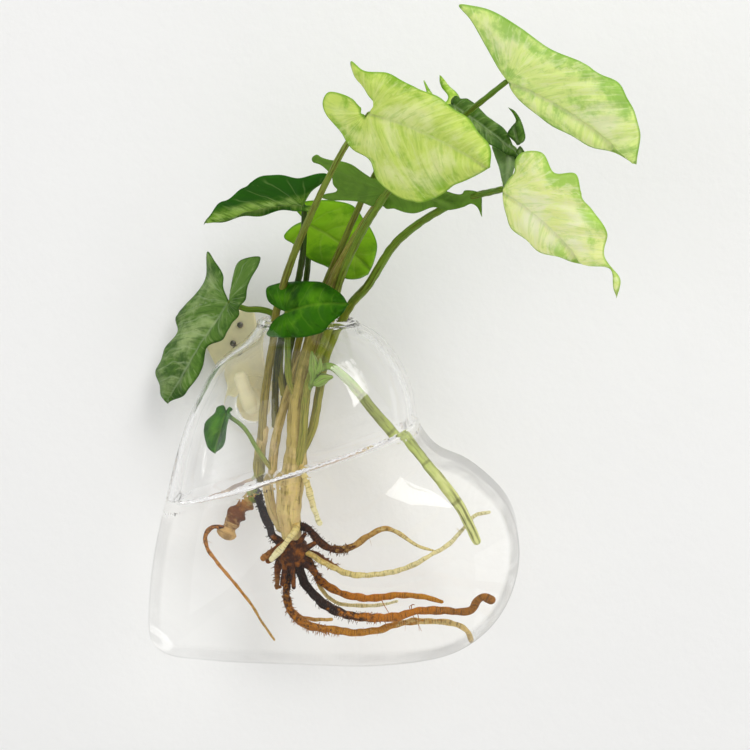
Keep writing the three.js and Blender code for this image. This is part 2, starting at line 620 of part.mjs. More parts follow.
// The roots, from the crown outwards
const crownMiddle = [17, 24, -46];
const crownRadii = [4.4, 4.2, 5];
const roots = {
  root_stub_rear: {
    route: [[4, 12.5, -29], [1, 12, -33], [-2.5, 12, -38], [-4.5, 12, -43]],
    radii: [2, 2.2, 2.6, 2.4], colour: 'paleroot',
  },
  root_thin_left: {
    route: [[-3, 12, -41.5], [-8.5, 13, -41], [-11, 12, -44], [-11, 11, -48.5], [-7.5, 10, -54.5],
      [-2.5, 9, -61.5], [1.5, 8.5, -66.5], [4.5, 8, -71], [9, 8, -76]],
    radii: [0.8, 0.7, 0.6, 0.45], colour: 'orangeroot',
  },
  root_black_rear: {
    route: [[5, 13, -28], [6.5, 14.5, -33], [9, 18, -38], [10.5, 20.5, -42], [15, 23, -45]],
    radii: [1.1, 1.4, 1.3, 1.4], colour: 'darkroot',
  },
  root_pale_up: {
    route: [[18, 25.5, -16], [21.5, 28, -20], [23.5, 29, -27], [26.5, 30, -35.5]],
    radii: [0.9, 1.1, 0.8], colour: 'paleroot',
  },
  root_pale_stub: {
    route: [[18.5, 25, -36], [18.5, 28.5, -38], [15.5, 30.5, -42], [10.5, 31, -48]],
    radii: [1, 1.2, 0.9], colour: 'paleroot',
  },
  root_brown_stub: {
    route: [[16, 25, -45], [13, 27, -44.5], [7.5, 27, -48.5]],
    radii: [1.4, 1.2, 1], colour: 'orangeroot',
  },
  root_upper_right: {
    route: [[18, 24.5, -37], [22, 25.5, -38], [27, 26, -43], [31, 26, -45], [37.5, 27, -44],
      [42.5, 27, -40.5], [48, 28, -38], [52, 28, -39], [58.5, 29, -43], [65, 30, -45]],
    radii: [1.2, 1.3, 1.1, 0.8, 0.5], colour: 'orangeroot',
  },
  root_pale_long: {
    route: [[18, 25, -45], [23.5, 26, -47], [31, 27, -51], [38, 29, -53], [47, 30, -52.5],
      [56, 32, -50], [64, 33, -45.5], [69.5, 31, -42.5], [74, 29, -38], [77.5, 28, -34.5],
      [82.5, 27.5, -33.5]],
    radii: [1, 1.1, 1, 0.9, 0.6], colour: 'paleroot',
  },
  root_short_front: {
    route: [[18, 23, -46], [24, 22, -47.5], [32, 19, -52.5]],
    radii: [1.3, 1.1, 0.6], colour: 'orangeroot',
  },
  root_orange_middle: {
    route: [[18, 23.5, -47], [22.5, 22.5, -50], [25.5, 21.5, -55.5], [32.5, 21, -60], [42.5, 21, -62],
      [52, 21.5, -61], [61, 22, -61.5], [66.5, 22.5, -63]],
    radii: [1.3, 1.2, 1.1, 1], colour: 'orangeroot',
  },
  root_dark_long: {
    route: [[17.5, 25.5, -48], [20, 27, -53.5], [23.5, 27.5, -59], [29, 28, -63.5], [36.5, 28.5, -66.5],
      [43.5, 29, -67], [51.5, 29, -67], [59.5, 29, -65], [68.5, 29, -65], [73.5, 28, -65.5],
      [78, 27.5, -65], [80.5, 26.5, -62.5], [83.5, 26, -61.5]],
    radii: [1.4, 1.5, 1.4, 1.3, 1.2, 1.4], colour: 'darkroot',
  },
  root_golden_low: {
    route: [[16.5, 24, -48], [15, 24, -56], [15, 24, -63], [17.5, 24.5, -67.5], [23, 25, -70.5],
      [31, 25.5, -71.5], [38, 25.5, -72.5], [42.5, 25, -72], [47, 25, -71.5], [51, 24.5, -70],
      [60, 24, -69], [70.5, 23, -70], [74.5, 23, -72], [76, 23, -75.5]],
    radii: [1.2, 1.3, 1.2, 1, 0.8], colour: 'orangeroot',
  },
  root_pale_low: {
    route: [[25, 21.5, -55], [26.5, 19, -59.5], [31.5, 17, -64], [39.5, 16, -65], [46.5, 15, -65],
      [51.5, 15, -64]],
    radii: [0.7, 0.8, 0.5], colour: 'paleroot',
  },
  root_thin_low: {
    route: [[15.5, 22, -56], [14.5, 20.5, -62], [18, 20, -67.5], [24, 19.5, -69], [30, 19.5, -69]],
    radii: [0.8, 0.7, 0.5], colour: 'orangeroot',
  },
  root_short_left: {
    route: [[15, 22.5, -47], [12, 20.5, -51.5], [11, 19.5, -59]],
    radii: [1.3, 1.2, 0.7], colour: 'orangeroot',
  },
};

// Each piece of the plant is cut back from the ones before it, so that neighbours keep the clearance
const placed = [];

function cutBack(shape) {
  return placed.reduce((rest, neighbour) => rest.subtract(neighbour), shape);
}

Object.entries(leaves).forEach(([name, leaf]) => {
  addPiece(vase, name, leafSolid(leaf, 0), leaf.colour);
});

Object.entries(stems).forEach(([name, stem]) => {
  const blade = leaves[stem.leaf];
  let shape = cutBack(sweep(stem.route, stem.radii, stemSides, 0));
  if (blade) shape = shape.subtract(leafSolid(blade, clearance));
  addPiece(vase, name, shape, stem.colour);
  placed.push(sweep(stem.route, stem.radii, stemSides, clearance));
});

const crownBall = (extra) => solid(new THREE.SphereGeometry(1, crownSides, crownRows)
  .scale(...crownRadii.map((radius) => radius + extra))
  .translate(...place(crownMiddle).toArray()));
addPiece(vase, 'root_crown', cutBack(crownBall(0)), 'darkroot');
placed.push(crownBall(clearance));

Object.entries(roots).forEach(([name, root]) => {
  addPiece(vase, name, cutBack(sweep(root.route, root.radii, rootSides, 0)), root.colour);
  placed.push(sweep(root.route, root.radii, rootSides, clearance));
});

// The water: the cavity below a level surface, with the plant's shapes taken out of it
const airSize = 400;
const air = new THREE.BoxGeometry(airSize, airSize, airSize);
air.translate(0, 0, airSize / 2 + waterLevel).rotateY(-turn);
const water = cutBack(pillow(wall + clearance).subtract(solid(air)));
addPiece(vase, 'water', water, 'water');

export default group;
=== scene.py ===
"""Looks of a heart shaped glass wall vase with a rooted arrowhead cutting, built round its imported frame.

Places on the vase and plant are written [across, out, up] in millimetres, from the middle of the
hanging hole: across and up along the flat back as the heart stands upright, and out from that back.
"""
import json
import math

import bpy
import numpy as np
from mathutils import Matrix, Vector
from mathutils.geometry import delaunay_2d_cdt

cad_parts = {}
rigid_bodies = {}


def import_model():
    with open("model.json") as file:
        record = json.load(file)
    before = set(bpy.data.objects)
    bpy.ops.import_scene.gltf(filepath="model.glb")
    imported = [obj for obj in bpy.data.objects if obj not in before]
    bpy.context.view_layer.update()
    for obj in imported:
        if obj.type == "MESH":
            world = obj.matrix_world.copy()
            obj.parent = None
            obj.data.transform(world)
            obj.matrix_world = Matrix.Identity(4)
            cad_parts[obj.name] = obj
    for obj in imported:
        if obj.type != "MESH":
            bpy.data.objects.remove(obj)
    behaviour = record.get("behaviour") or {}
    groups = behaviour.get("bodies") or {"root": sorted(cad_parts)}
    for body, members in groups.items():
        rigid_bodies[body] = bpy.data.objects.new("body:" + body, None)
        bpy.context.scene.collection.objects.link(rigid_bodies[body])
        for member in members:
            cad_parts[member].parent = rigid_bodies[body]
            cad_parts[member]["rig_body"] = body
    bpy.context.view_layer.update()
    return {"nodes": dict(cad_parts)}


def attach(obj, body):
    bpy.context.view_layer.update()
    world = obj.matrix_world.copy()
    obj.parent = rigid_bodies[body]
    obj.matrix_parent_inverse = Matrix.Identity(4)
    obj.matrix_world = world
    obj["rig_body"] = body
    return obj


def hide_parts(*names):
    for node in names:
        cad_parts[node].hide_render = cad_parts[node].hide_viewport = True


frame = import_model()

bl_info = {
    "name": "Heart wall vase with a rooted cutting",
    "version": (1, 0, 0),
    "blender": (4, 5, 0),
    "location": "3D View > Sidebar > Vase",
    "description": "Builds a hanging glass vase, its water, its wall hook and the plant in it",
    "category": "Add Mesh",
}

MM = 0.001

# How the vase hangs on its hook
VASE_TURN = math.radians(18.5)
STAND_OFF = 3.8
SEAT_DROP = 3.4

# The glass body
WALL = 2.5
UPPER_WALL = 1.6
WALL_THINS = (-45, -12)
FULL_DEPTH = 52
WIDEST_DEPTH = 22
BACK_FILLET = 9
DOME_ROUNDNESS = 2.4
HOLE_RADIUS = 6.2
HOLE_BEAD_RADIUS = 2.2
HOLE_BEAD_OUT = 2.5
NECK_TOP = 33
NECK_FOOT = 14
MOUTH_MIDDLE = (21.2, 18)
MOUTH_HALF = (16.9, 14.4)
NECK_SPREAD = (9, 3.2)
LIP_RADIUS = 1.25
SHOULDER_BLEND = 4
LIP_BLEND = 0.8
BEAD_BLEND = 1.2
BORE_BLEND = 0.7
HEART_MIDDLE = (24, -38)
HEART_OUTLINE = (
    (-30, -84.5), (-14, -87), (15, -88), (50, -87.8), (75, -82.2), (89, -69.5), (95.2, -50),
    (91.3, -31.5), (77, -17.6), (66, -12.5), (59.3, -3.5), (57.6, 6), (53.5, 16.5), (45, 27),
    (34, 31.8), (21, 32.6), (8, 30.6), (-2.3, 24.2), (-9.5, 18.5), (-15.8, 7.5), (-19.8, -1),
    (-23.8, -13), (-27.4, -27), (-32.4, -48.5), (-34.7, -68), (-34.2, -79.5),
)
HEART_DIRECTIONS = 1024
HEART_SMOOTHNESS = 40
GLASS_CELL = 0.88
GLASS_REACH = ((-37.5, -1.5, -91), (98, 54.5, 35))
WATER_CELL = 0.75
WATER_TOP = 16
WATER_IN_GLASS = 0.6
WATER_BEND = 1.0
WATER_BEND_BACK = 0.2
MENISCUS_WIDTH = 2.0
MENISCUS_FRONT = (5, 14)
BELOW_MENISCUS = 1.0
UNBENT = 1.001
# Slightly above 1, in place of the light that glass and water gather on the wall behind
LIGHT_THROUGH_GLASS = ((1.02, 1.02, 1.018), (0.9, 0.9, 0.89))
LIGHT_THROUGH_WATER = ((1.035, 1.035, 1.03), (0.98, 0.98, 0.97))
RIPPLES = 0.00005
# Painted shade on the outer skin of the glass below the water: the span across which it grows to full
# strength, its share at the left, and the depth below the surface over which it fades in
GLASS_SHADE_FROM_LEFT = (30, 75)
GLASS_SHADE_AT_LEFT = 0.4
GLASS_SHADE_FADE = 3

# The hook
PLATE_THICKNESS = 2.5
PLATE_TOP_HALF = 11
PLATE_FOOT_HALF = 5.5
PLATE_TOP = 30
PLATE_FOOT = -10
PLATE_CORNER = 3
PEG_RADIUS = 2.5
PEG_DEPTH = 3.6
TONGUE_BACK = 8.8
TONGUE_THICKNESS = 4
TONGUE_RISE = 10
PLATE_EDGE = 0.9
PEG_EDGE = 1
PEG_ROOT = 1.6
TONGUE_EDGE = 2.2
TONGUE_ROOT = 1.2
TONGUE_FLAT = 0.6
PIN_EDGE = 0.3
HOOK_CELL = 0.45
HOOK_REACH = ((-12.5, -14.5, -11.5), (12.5, 1.2, 31.5))
PIN_PLACES = ((-4.6, 25), (4.6, 25), (0, 19.5))
PIN_BORE = 0.8
PIN_SIDES = 32
PIN_PROFILE = (
    (0, -14), (0.12, -13.8), (0.5, -12.5), (0.5, 0.25), (0.95, 0.3), (1.1, 0.42), (1.08, 0.62),
    (0.9, 0.82), (0.55, 0.95), (0, 1),
)

# Each leaf lies in a plane through its base and tip. Its margins are (along the rib, aside from it).
# The right margin starts and ends where the left one does.
LEAVES = {
    "leaf_top_right": {
        "base": (88.5, 104, 113.5), "tip": (126.5, 106, 89), "aside": (-0.42, -0.55, -0.69),
        "arch": (2, 3, 4), "cup": 1.4, "wave": 0.4, "finish": "fresh",
        "left": ((0, 0), (-3.5, -1.5), (-11, -6), (-18.5, -10.5), (-23.5, -12.5), (-19, -15),
            (-14.5, -16.5), (-5, -17.5), (4, -16.5), (15, -19), (21.5, -19), (27.5, -19.5), (35, -15),
            (40, -10.5), (45, 0)),
        "right": ((2.5, 2), (10, 4.5), (20.5, 4.5), (30.5, 3.5), (39.5, 0.5))},
    "leaf_front": {
        "base": (47, 90, 104), "tip": (83.5, 104, 88), "aside": (-0.22, -0.43, -0.88),
        "arch": (0, 4, 3), "cup": 1.5, "finish": "lime",
        "left": ((0, -0.5), (0.5, -3), (-2.5, -6.5), (-7.5, -8.5), (-10, -13), (-5, -12.5),
            (3.5, -14.5), (13, -14.5), (21, -14), (27, -13), (36, -9.5), (41, -5), (42.5, -0.5)),
        "right": ((-1, 2), (-5.5, -2), (-10.5, -2), (-15.5, 0), (-16, 3.5), (-11, 9), (-6.5, 11.5),
            (-2, 14), (3.5, 15.5), (7, 20), (12, 21.5), (18, 22), (24.5, 20), (29.5, 15), (32.5, 10.5),
            (38, 5))},
    "leaf_right": {
        "base": (87.5, 90, 81), "tip": (121.5, 98, 49), "aside": (-0.46, -0.62, -0.64),
        "arch": (2, 4, 3), "cup": 1.5, "finish": "pale",
        "left": ((0, 0), (-0.5, -4), (-0.5, -8), (-2.5, -12.5), (-2, -16), (2.5, -20), (9, -18.5),
            (14.5, -24), (20, -19.5), (25, -17.5), (31.5, -17), (35, -11), (39.5, -7), (45, -6.5),
            (47.5, 0)),
        "right": ((-2, -1.5), (0.5, 0.5), (2.5, 3), (6, 6), (9.5, 8.5), (16, 8.5), (24, 6), (29, 2),
            (34.5, -1), (40.5, -6))},
    "leaf_folded": {
        "base": (71.7, 80, 106), "tip": (92.5, 85, 90.5), "aside": (-0.45, 0.6, -0.66),
        "arch": (1, 0, 1), "cup": 0.8, "fold": 28, "finish": "grey", "folds": ("curl", "droop", "flap"),
        "left": ((0, 0), (-1.5, -2), (1, -4), (7, -4.4), (14, -4.2), (20, -3), (26.5, 0)),
        "right": ((-2, 3), (0, 6), (6, 7.5), (13, 7), (20, 5))},
    "leaf_upright": {
        "base": (66, 72, 105.5), "tip": (67.5, 64, 115.5), "aside": (0.96, -0.13, -0.25),
        "arch": (0, 1, 0), "cup": 0.3, "finish": "lime",
        "left": ((0, 0), (2.3, -2.2), (6.1, -3.6), (10, -4.6), (5.6, -1.8), (3, 0.3), (2.8, 3.2),
            (4.6, 3.8), (6.2, 3.3), (8.8, 1.6), (11.1, 0.4), (13, 0)),
        "right": ((-1, 3.7), (-1.4, 7.3), (-0.5, 8.9), (3, 10), (5.5, 7.7), (8.9, 5.1), (11.7, 2.1),
            (12.6, 0.7))},
    "leaf_under": {
        "base": (50.5, 64, 78.5), "tip": (81.5, 77, 72.5), "aside": (0, -0.42, -0.91),
        "arch": (0, 0, 3), "cup": 1.0, "finish": "leafy", "underside_out": True,
        "left": ((-17.5, 2.5), (-18.6, 1), (-19.1, -1.5), (-20.7, -3.3), (-23.6, -4.9), (-26.4, -5.4),
            (-26.7, -6.6), (-24.9, -8.1), (-23.4, -7.5), (-20, -7.2), (-16.1, -7.6), (-11.8, -7.4),
            (-8, -5.8), (-3.5, -4.6), (5.5, -4.6), (17.9, -5.1), (22.6, -5.4), (27.2, -6), (28.1, -7.4),
            (31.3, -7.6), (33.1, -6.4), (33.6, -3.2), (34.1, 0.4)),
        "right": ((-18.2, 3.6), (-22.2, 5.4), (-24.4, 6.9), (-20.7, 7.5), (-16.7, 6.6), (-8.8, 5.4),
            (-3, 5.4), (2.3, 5.1), (6.5, 5.7), (11.3, 4.2), (17, 1.5), (22.6, 0.6), (27.2, -1),
            (29.9, -2.6), (32.2, -1.8))},
    "leaf_left_dark": {
        "base": (23, 47, 74), "tip": (-11.5, 38, 66.5), "aside": (-0.32, 0.65, 0.69), "arch": (0, 2, 5),
        "cup": 1.0, "finish": "split",
        "left": ((0, 0), (-2.5, -1), (-1, -4), (2.5, -2), (11.5, -1), (21, -0.5), (27.5, 0), (36.5, 0)),
        "right": ((-4.5, 4.5), (-9.5, 7.5), (-12.5, 10.5), (-7, 12), (-1, 13), (4, 15), (9, 16.5),
            (17.5, 12), (27, 8), (32, 4.5))},
    "leaf_backlit": {
        "base": (22.3, 33, 67.2), "tip": (43.5, 29, 51.4), "aside": (-0.61, -0.19, -0.77),
        "arch": (1, 0, 2), "cup": 1.0, "finish": "leafgreen",
        "left": ((0, -0.5), (-3, -1), (-5.5, -2), (-3.5, -7), (2, -11), (9, -14.5), (15.5, -12.5),
            (23, -9), (26.5, -2.5), (27.5, 2)),
        "right": ((-1.5, 1.5), (-3, 5), (-3, 8.5), (0.5, 9), (3.5, 9), (8.5, 9.5), (16, 8.5), (23, 7.5),
            (26, 5.5))},
    "leaf_mouth": {
        "base": (16, 34, 37), "tip": (38, 50, 41.5), "aside": (0.08, 0.16, -0.98), "arch": (0, 3, 3),
        "cup": 1.2, "finish": "deep",
        "left": ((0, 0), (-4.5, -2), (-8.5, -5), (-9.5, -9), (-3.5, -10), (3, -10), (9, -9.5),
            (15.5, -8.5), (20.5, -6.5), (24.5, -3), (27.5, 0)),
        "right": ((-4.5, 1.5), (-7.5, 3.5), (-10, 7.5), (-5.5, 8.5), (-1, 8.5), (4.5, 9), (9.5, 9),
            (16, 7.5), (21, 4.5))},
    "leaf_left_grey": {
        "base": (-5, 22, 39), "tip": (-28.5, 14, 2), "aside": (-0.53, -0.7, 0.49), "arch": (-2, 3, 0),
        "cup": 1.2, "finish": "grey",
        "left": ((0, -0.5), (-3, 3), (-6, 6), (-10, 7.5), (-13.5, 6), (-19.5, -0.5), (-17, -2.5),
            (-13, -3), (-8, -4.5), (-3.5, -5.5), (3.5, -7), (9.5, -7), (18.5, -2.5), (24.5, -4.5),
            (32.5, -6), (42, -1.5), (44.5, 0)),
        "right": ((-1.5, 6), (-4.5, 10), (-5.5, 17.5), (-5.5, 23.5), (1, 19), (9, 17.5), (15, 19),
            (20, 20), (26, 15.5), (32.5, 16.5), (37.5, 16), (42, 12.5), (44.5, 5.5))},
    "leaf_inside": {
        "base": (-7.5, 18, -0.5), "tip": (-11, 21, -14.5), "aside": (-0.81, -0.57, 0.08),
        "arch": (0, 1, 0), "cup": 0.6, "finish": "deep",
        "left": ((0, 0), (-1.5, -0.5), (-2.5, -1.5), (2, -2.5), (7.5, -2.5), (12, -2), (14.5, 0)),
        "right": ((-2.5, 3), (-0.5, 5), (4.5, 8), (8, 7.5), (12.5, 5.5))},
}

# Parts of the folded leaf that turn out of its two halves
LEAF_FOLDS = {
    "curl": {
        "base": (92.3, 84, 94.2), "tip": (88.8, 87, 105.6), "aside": (1, 0, 0), "arch": (0, -1, 0),
        "cup": 0.8,
        "left": ((0, 0), (3.1, -1.8), (4.6, -2.4), (6.2, -0.5), (7.3, 1.1), (9.6, 0.9), (12.3, 0)),
        "right": ((0.4, 1.3), (1.8, 2.5), (4.3, 2.8), (7.9, 2.5), (10.8, 1.4))},
    "droop": {
        "base": (89.6, 84, 94.8), "tip": (88.2, 88, 75), "aside": (1, 0, 0), "arch": (0, 1, 0),
        "cup": 0.8, "underside_out": True,
        "left": ((0, 0), (-0.4, -4), (1.3, -5.4), (3.4, -4.7), (7.5, -2.9), (10.7, -1.9), (13.9, -1),
            (20.3, 0)),
        "right": ((1.4, 2.2), (4.6, 3.1), (7.2, 2), (10.5, 1.3), (14.4, 0.8))},
    "flap": {
        "base": (92.6, 84, 93.9), "tip": (93.3, 83, 86), "aside": (1, 0, 0), "arch": (0, -1, 0),
        "cup": 0.5,
        "left": ((0, 0), (1.7, -1.5), (4.1, -1.9), (6.6, -1.7), (8, 0)),
        "right": ((1.9, 1.3), (4.4, 1.6), (6.5, 1))},
}

# Stems and roots: route from foot to top, and radii spread evenly along it
STEMS = {
    "main_stem": (((17, 24, -42), (16, 24, -33), (16.5, 23.5, -23), (18, 23, -9), (18, 23, 0),
        (20, 22, 13), (23.5, 20.5, 26.5), (28.5, 27, 40.5), (37.5, 43, 59), (46, 57, 72), (50, 63, 77.5)),
        (3.4, 4.5, 3.6, 2.9, 2.8, 2, 1.5, 1.3, 1.1), "tan"),
    "second_stem": (((13, 20, -39), (10, 16.5, -33), (8.5, 16, -21.5), (10, 16, -8), (12.5, 15, 1.5),
        (16.5, 15, 13.5), (21.5, 15, 24.5), (28, 26, 43), (38, 44, 60.5), (47, 56, 74), (60, 70, 90),
        (71, 79.5, 100.5)), (1.7, 1.6, 1.5, 1.5, 1.4, 1.3, 1, 0.9), "tan"),
    "rear_stem": (((5.5, 14, -7), (3.5, 13.5, -19), (4, 12.5, -30)), (1.8, 2.1, 2), "tan"),
    "stalk_top_right": (((18, 25, -20), (20.5, 28, -6), (21, 27.5, 2), (22.5, 27, 12), (28.5, 24.5, 28),
        (31, 26.5, 38), (33.5, 34, 47), (40, 49, 61), (48, 65, 74), (60, 84, 89), (75, 93, 102.5),
        (88, 103.5, 113)), (1.5, 1.4, 1.3, 1.2, 1, 0.8), "green"),
    "stalk_front": (((4.5, 14, -14), (5, 14.5, -6), (6, 14.5, 5.5), (9, 16, 24.5), (10.5, 21, 33.5),
        (15, 34, 47), (23.5, 52, 66), (39.5, 79, 94.5), (47, 89, 103.5)),
        (1.5, 1.4, 1.3, 1.2, 1, 0.9), "olive"),
    "stalk_right": (((20, 24.5, -12), (23.5, 24, -4), (25.5, 22.5, 7.5), (28, 20.5, 20.5), (33, 19, 32),
        (37, 24, 39), (43, 34, 46), (54, 49, 62.5), (72, 67, 75.5), (87, 89.5, 81)),
        (1.5, 1.5, 1.5, 1.4, 1.2, 1), "green"),
    "stalk_upright": (((16, 20.5, -4), (15, 13.5, 4), (17, 11, 22), (21, 13, 33), (26.5, 24, 42.5),
        (35.5, 41, 61.5), (50, 60, 89), (65.5, 71.5, 105)), (1.2, 1.2, 1.1, 1, 0.8), "olive"),
    "stalk_left_dark": (((9.5, 15, -5), (9, 10.5, 4.5), (10, 11, 18.5), (13, 15, 30), (16, 20, 37),
        (19, 30, 46), (22, 41, 58.5), (23, 46, 73)), (1.3, 1.2, 1.2, 1.1, 0.9), "dark"),
    "stalk_backlit": (((11.5, 15, -2), (12.5, 10, 5), (14, 10, 20), (17, 13, 32), (20, 19, 42),
        (22, 24, 53.5), (22.5, 32, 66.5)), (1.2, 1.1, 1.1, 1, 0.9), "dark"),
    "stalk_mouth": (((18, 22.5, 5), (15.5, 24, 12), (15, 24, 24), (15, 25.5, 33), (15.5, 30, 37),
        (16, 34, 37)), (1.2, 1.1, 1), "green"),
    "stalk_left_grey": (((12.5, 14.5, 6), (10.5, 8.5, 14), (11, 10, 24), (11, 13, 30), (9.5, 15.5, 34),
        (5.5, 17.5, 36), (0, 19.5, 36.5), (-5, 22, 39)), (1.2, 1.2, 1.1, 1), "green"),
    "stalk_inside": (((8.5, 16.5, -21), (3.5, 18.5, -13), (-1, 19, -5.5), (-7, 18, -1)),
        (0.9, 0.8, 0.7), "green"),
    "shoot_stalk": (((26, 31, 17), (30, 30.5, 18), (37.5, 29, 11.5), (45, 28, 2), (52, 27.5, -6),
        (58.5, 28, -13.5), (63, 29.5, -18.5), (68, 31, -24), (73.5, 32, -31), (79, 33, -41)),
        (1.2, 1.6, 1.9, 1.9, 1.9, 1.8, 1.5), "shoot"),
}
BUD_SCALES = (
    (((22, 27, 9), (23.5, 28.5, 11.5), (24.5, 30, 15), (24.5, 31, 19), (24, 32, 23)),
     (0.8, 0.9, 1.2, 1.9, 1.5, 0.4)),
    (((23.5, 28.5, 11.5), (26, 30.5, 12.5), (28.5, 31.5, 14), (30.5, 32, 14.5)), (0.5, 1.5, 1.9, 0.7)),
    (((24.5, 30, 14.5), (26.5, 31.5, 17.5), (26.8, 32, 20.5)), (0.5, 1.3, 0.4)),
)
CROWN_MIDDLE = (17, 24, -46.5)
CROWN_RADII = (5.2, 4.8, 6.2)
CROWN_ROOM = 6.2
CROWN_CELL = 0.4
CROWN_KNOBS = 34
CROWN_KNOB_PLACE = 0.92
CROWN_KNOB_RADII = (0.5, 1.5)
CROWN_KNOB_BLEND = 0.5
CROWN_STUB_TAPER = (1.15, 0.4)
CROWN_STUB_BLEND = 0.6
CROWN_STUBS = (
    ((1.5, 1, -3), (4.5, 2, -9), 1.2), ((-2, 2, -3), (-3.5, 3, -10), 1.1),
    ((-3.5, 1, 0), (-8, 2.5, -3), 1.2), ((3.5, 2, 1), (7.5, 3, 3.5), 1.1),
    ((0, 3, -4), (0.5, 4, -11), 1), ((3, 1, -3), (8, 2, -6), 1.1),
    ((-3, -1, 2), (-6.5, -1, 5), 1), ((2, 3, 3), (4.5, 4, 7), 0.9),
)
ROOTS = {
    "root_stub_rear": (((4, 12.5, -29), (1, 12, -33), (-2.5, 12, -38), (-4.5, 12, -43)),
        (2, 2.2, 2.6, 2.4), "cream"),
    "root_thin_left": (((-3, 12, -41.5), (-8.5, 13, -41), (-11, 12, -44), (-11, 11, -48.5),
        (-7.5, 10, -54.5), (-2.5, 9, -61.5), (1.5, 8.5, -66.5), (4.5, 8, -71), (9, 8, -76)),
        (0.8, 0.6, 0.5, 0.35), "amber"),
    "root_black_rear": (((5, 13, -28), (6.5, 14.5, -33), (9, 18, -38), (10.5, 20.5, -42), (15, 23, -45)),
        (1.1, 1.4, 1.3, 1.4), "black"),
    "root_pale_up": (((18, 25.5, -16), (21.5, 28, -20), (23.5, 29, -27), (26.5, 30, -35.5)),
        (0.9, 1.1, 0.8), "straw"),
    "root_pale_stub": (((18.5, 25, -36), (18.5, 28.5, -38), (15.5, 30.5, -42), (10.5, 31, -48)),
        (1, 1.2, 0.9), "straw"),
    "root_brown_stub": (((16, 25, -45), (13, 27, -44.5), (7.5, 27, -48.5)), (1.4, 1.2, 1), "brown"),
    "root_upper_right": (((18, 24.5, -37), (22, 25.5, -38), (27, 26, -43), (31, 26, -45), (37.5, 27, -44),
        (42.5, 27, -40.5), (48, 28, -38), (52, 28, -39), (58.5, 29, -43), (65, 30, -45)),
        (1.2, 1.3, 1, 0.65, 0.4), "brown_to_straw"),
    "root_pale_long": (((18, 25, -45), (23.5, 26, -47), (31, 27, -51), (38, 29, -53), (47, 30, -52.5),
        (56, 32, -50), (64, 33, -45.5), (69.5, 31, -42.5), (74, 29, -38), (77.5, 28, -34.5),
        (82.5, 27.5, -33.5)), (0.9, 0.95, 0.85, 0.7, 0.5), "straw"),
    "root_short_front": (((18, 23, -46), (24, 22, -47.5), (32, 19, -52.5)), (1.3, 1.1, 0.6), "brown"),
    "root_orange_middle": (((18, 23.5, -47), (22.5, 22.5, -50), (25.5, 21.5, -55.5), (32.5, 21, -60),
        (42.5, 21, -62), (52, 21.5, -61), (61, 22, -61.5), (66.5, 22.5, -63)),
        (1.3, 1.2, 1.1, 0.7), "orange"),
    "root_dark_long": (((17.5, 25.5, -48), (20, 27, -53.5), (23.5, 27.5, -59), (29, 28, -63.5),
        (36.5, 28.5, -66.5), (43.5, 29, -67), (51.5, 29, -67), (59.5, 29, -65), (68.5, 29, -65),
        (73.5, 28, -65.5), (77, 27.5, -65), (78.5, 27, -62.3), (80.5, 26.5, -60.9), (83, 26, -62.2)),
        (1.4, 1.5, 1.4, 1.3, 1.2, 1.4), "black_to_orange"),
    "root_golden_low": (((16.5, 24, -48), (15, 24, -56), (15, 24, -63), (17.5, 24.5, -67.5),
        (23, 25, -70.5), (31, 25.5, -71.5), (38, 25.5, -72.5), (42.5, 25, -72), (47, 25, -71.5),
        (51, 24.5, -70), (60, 24, -69), (70.5, 23, -70), (74.5, 23, -72), (76, 23, -75.5)),
        (1.2, 1.3, 1.2, 1, 0.8), "brown_to_orange"),
    "root_pale_low": (((25, 21.5, -55), (26.5, 19, -59.5), (31.5, 17, -64), (39.5, 16, -65),
        (46.5, 15, -65), (51.5, 15, -64)), (0.6, 0.65, 0.4), "straw"),
    "root_thin_low": (((15.5, 22, -56), (14.5, 20.5, -62), (18, 20, -67.5), (24, 19.5, -69),
        (30, 19.5, -69)), (0.8, 0.7, 0.5), "amber"),
    "root_short_left": (((15, 22.5, -47), (12, 20.5, -51.5), (11, 19.5, -59)), (1.3, 1.2, 0.7), "brown"),
}


def linear(hex_colour):
    """A colour written as the eye sees it, as the linear red, green and blue that shaders take."""
    parts = [int(hex_colour[k:k + 2], 16) / 255 for k in (0, 2, 4)]
    return tuple(c / 12.92 if c <= 0.04045 else ((c + 0.055) / 1.055) ** 2.4 for c in parts)


# Sizes and colours that can be changed in the sidebar
def colour_property(name, words, hex_colour):
    return bpy.props.FloatVectorProperty(
        name=name, description=words, subtype="COLOR", size=3, min=0, max=1,
        default=linear(hex_colour))


def length_property(name, words, default, low, high):
    return bpy.props.FloatProperty(
        name=name, description=words, default=default, min=low, max=high, unit="LENGTH", precision=5)


def number_property(name, words, default, low, high, subtype="NONE"):
    return bpy.props.FloatProperty(
        name=name, description=words, default=default, min=low, max=high, subtype=subtype)


class GlassSettings(bpy.types.PropertyGroup):
    """The clear blown glass of the vase."""

    refraction: number_property("Refraction", "How strongly the glass bends light", 1.43, 1, 2)
    waviness: length_property(
        "Waviness", "Height of the slow waves that blowing leaves in the surface", 0.00012, 0, 0.001)
    tint: colour_property("Tint", "Colour of light that has passed through the glass", "ffffff")


class WaterSettings(bpy.types.PropertyGroup):
    """The water that the roots stand in."""

    below_peg: length_property(
        "Level below the peg", "How far the water's surface lies below the peg's axis",
        0.0263, 0.01, 0.06)
    climb: length_property(
        "Climb at the glass", "How far the surface climbs where it meets the glass", 0.003, 0, 0.004)
    refraction: number_property("Refraction", "How strongly the water bends light", 1.333, 1, 2)
    tint: colour_property("Tint", "Colour of light that has passed through the water", "ffffff")


class HookSettings(bpy.types.PropertyGroup):
    """The wall hook and its pins."""

    body: colour_property("Hook", "Colour of the moulded hook", "f8efc4")
    steel: colour_property("Pins", "Colour of the steel pins", "8d8981")


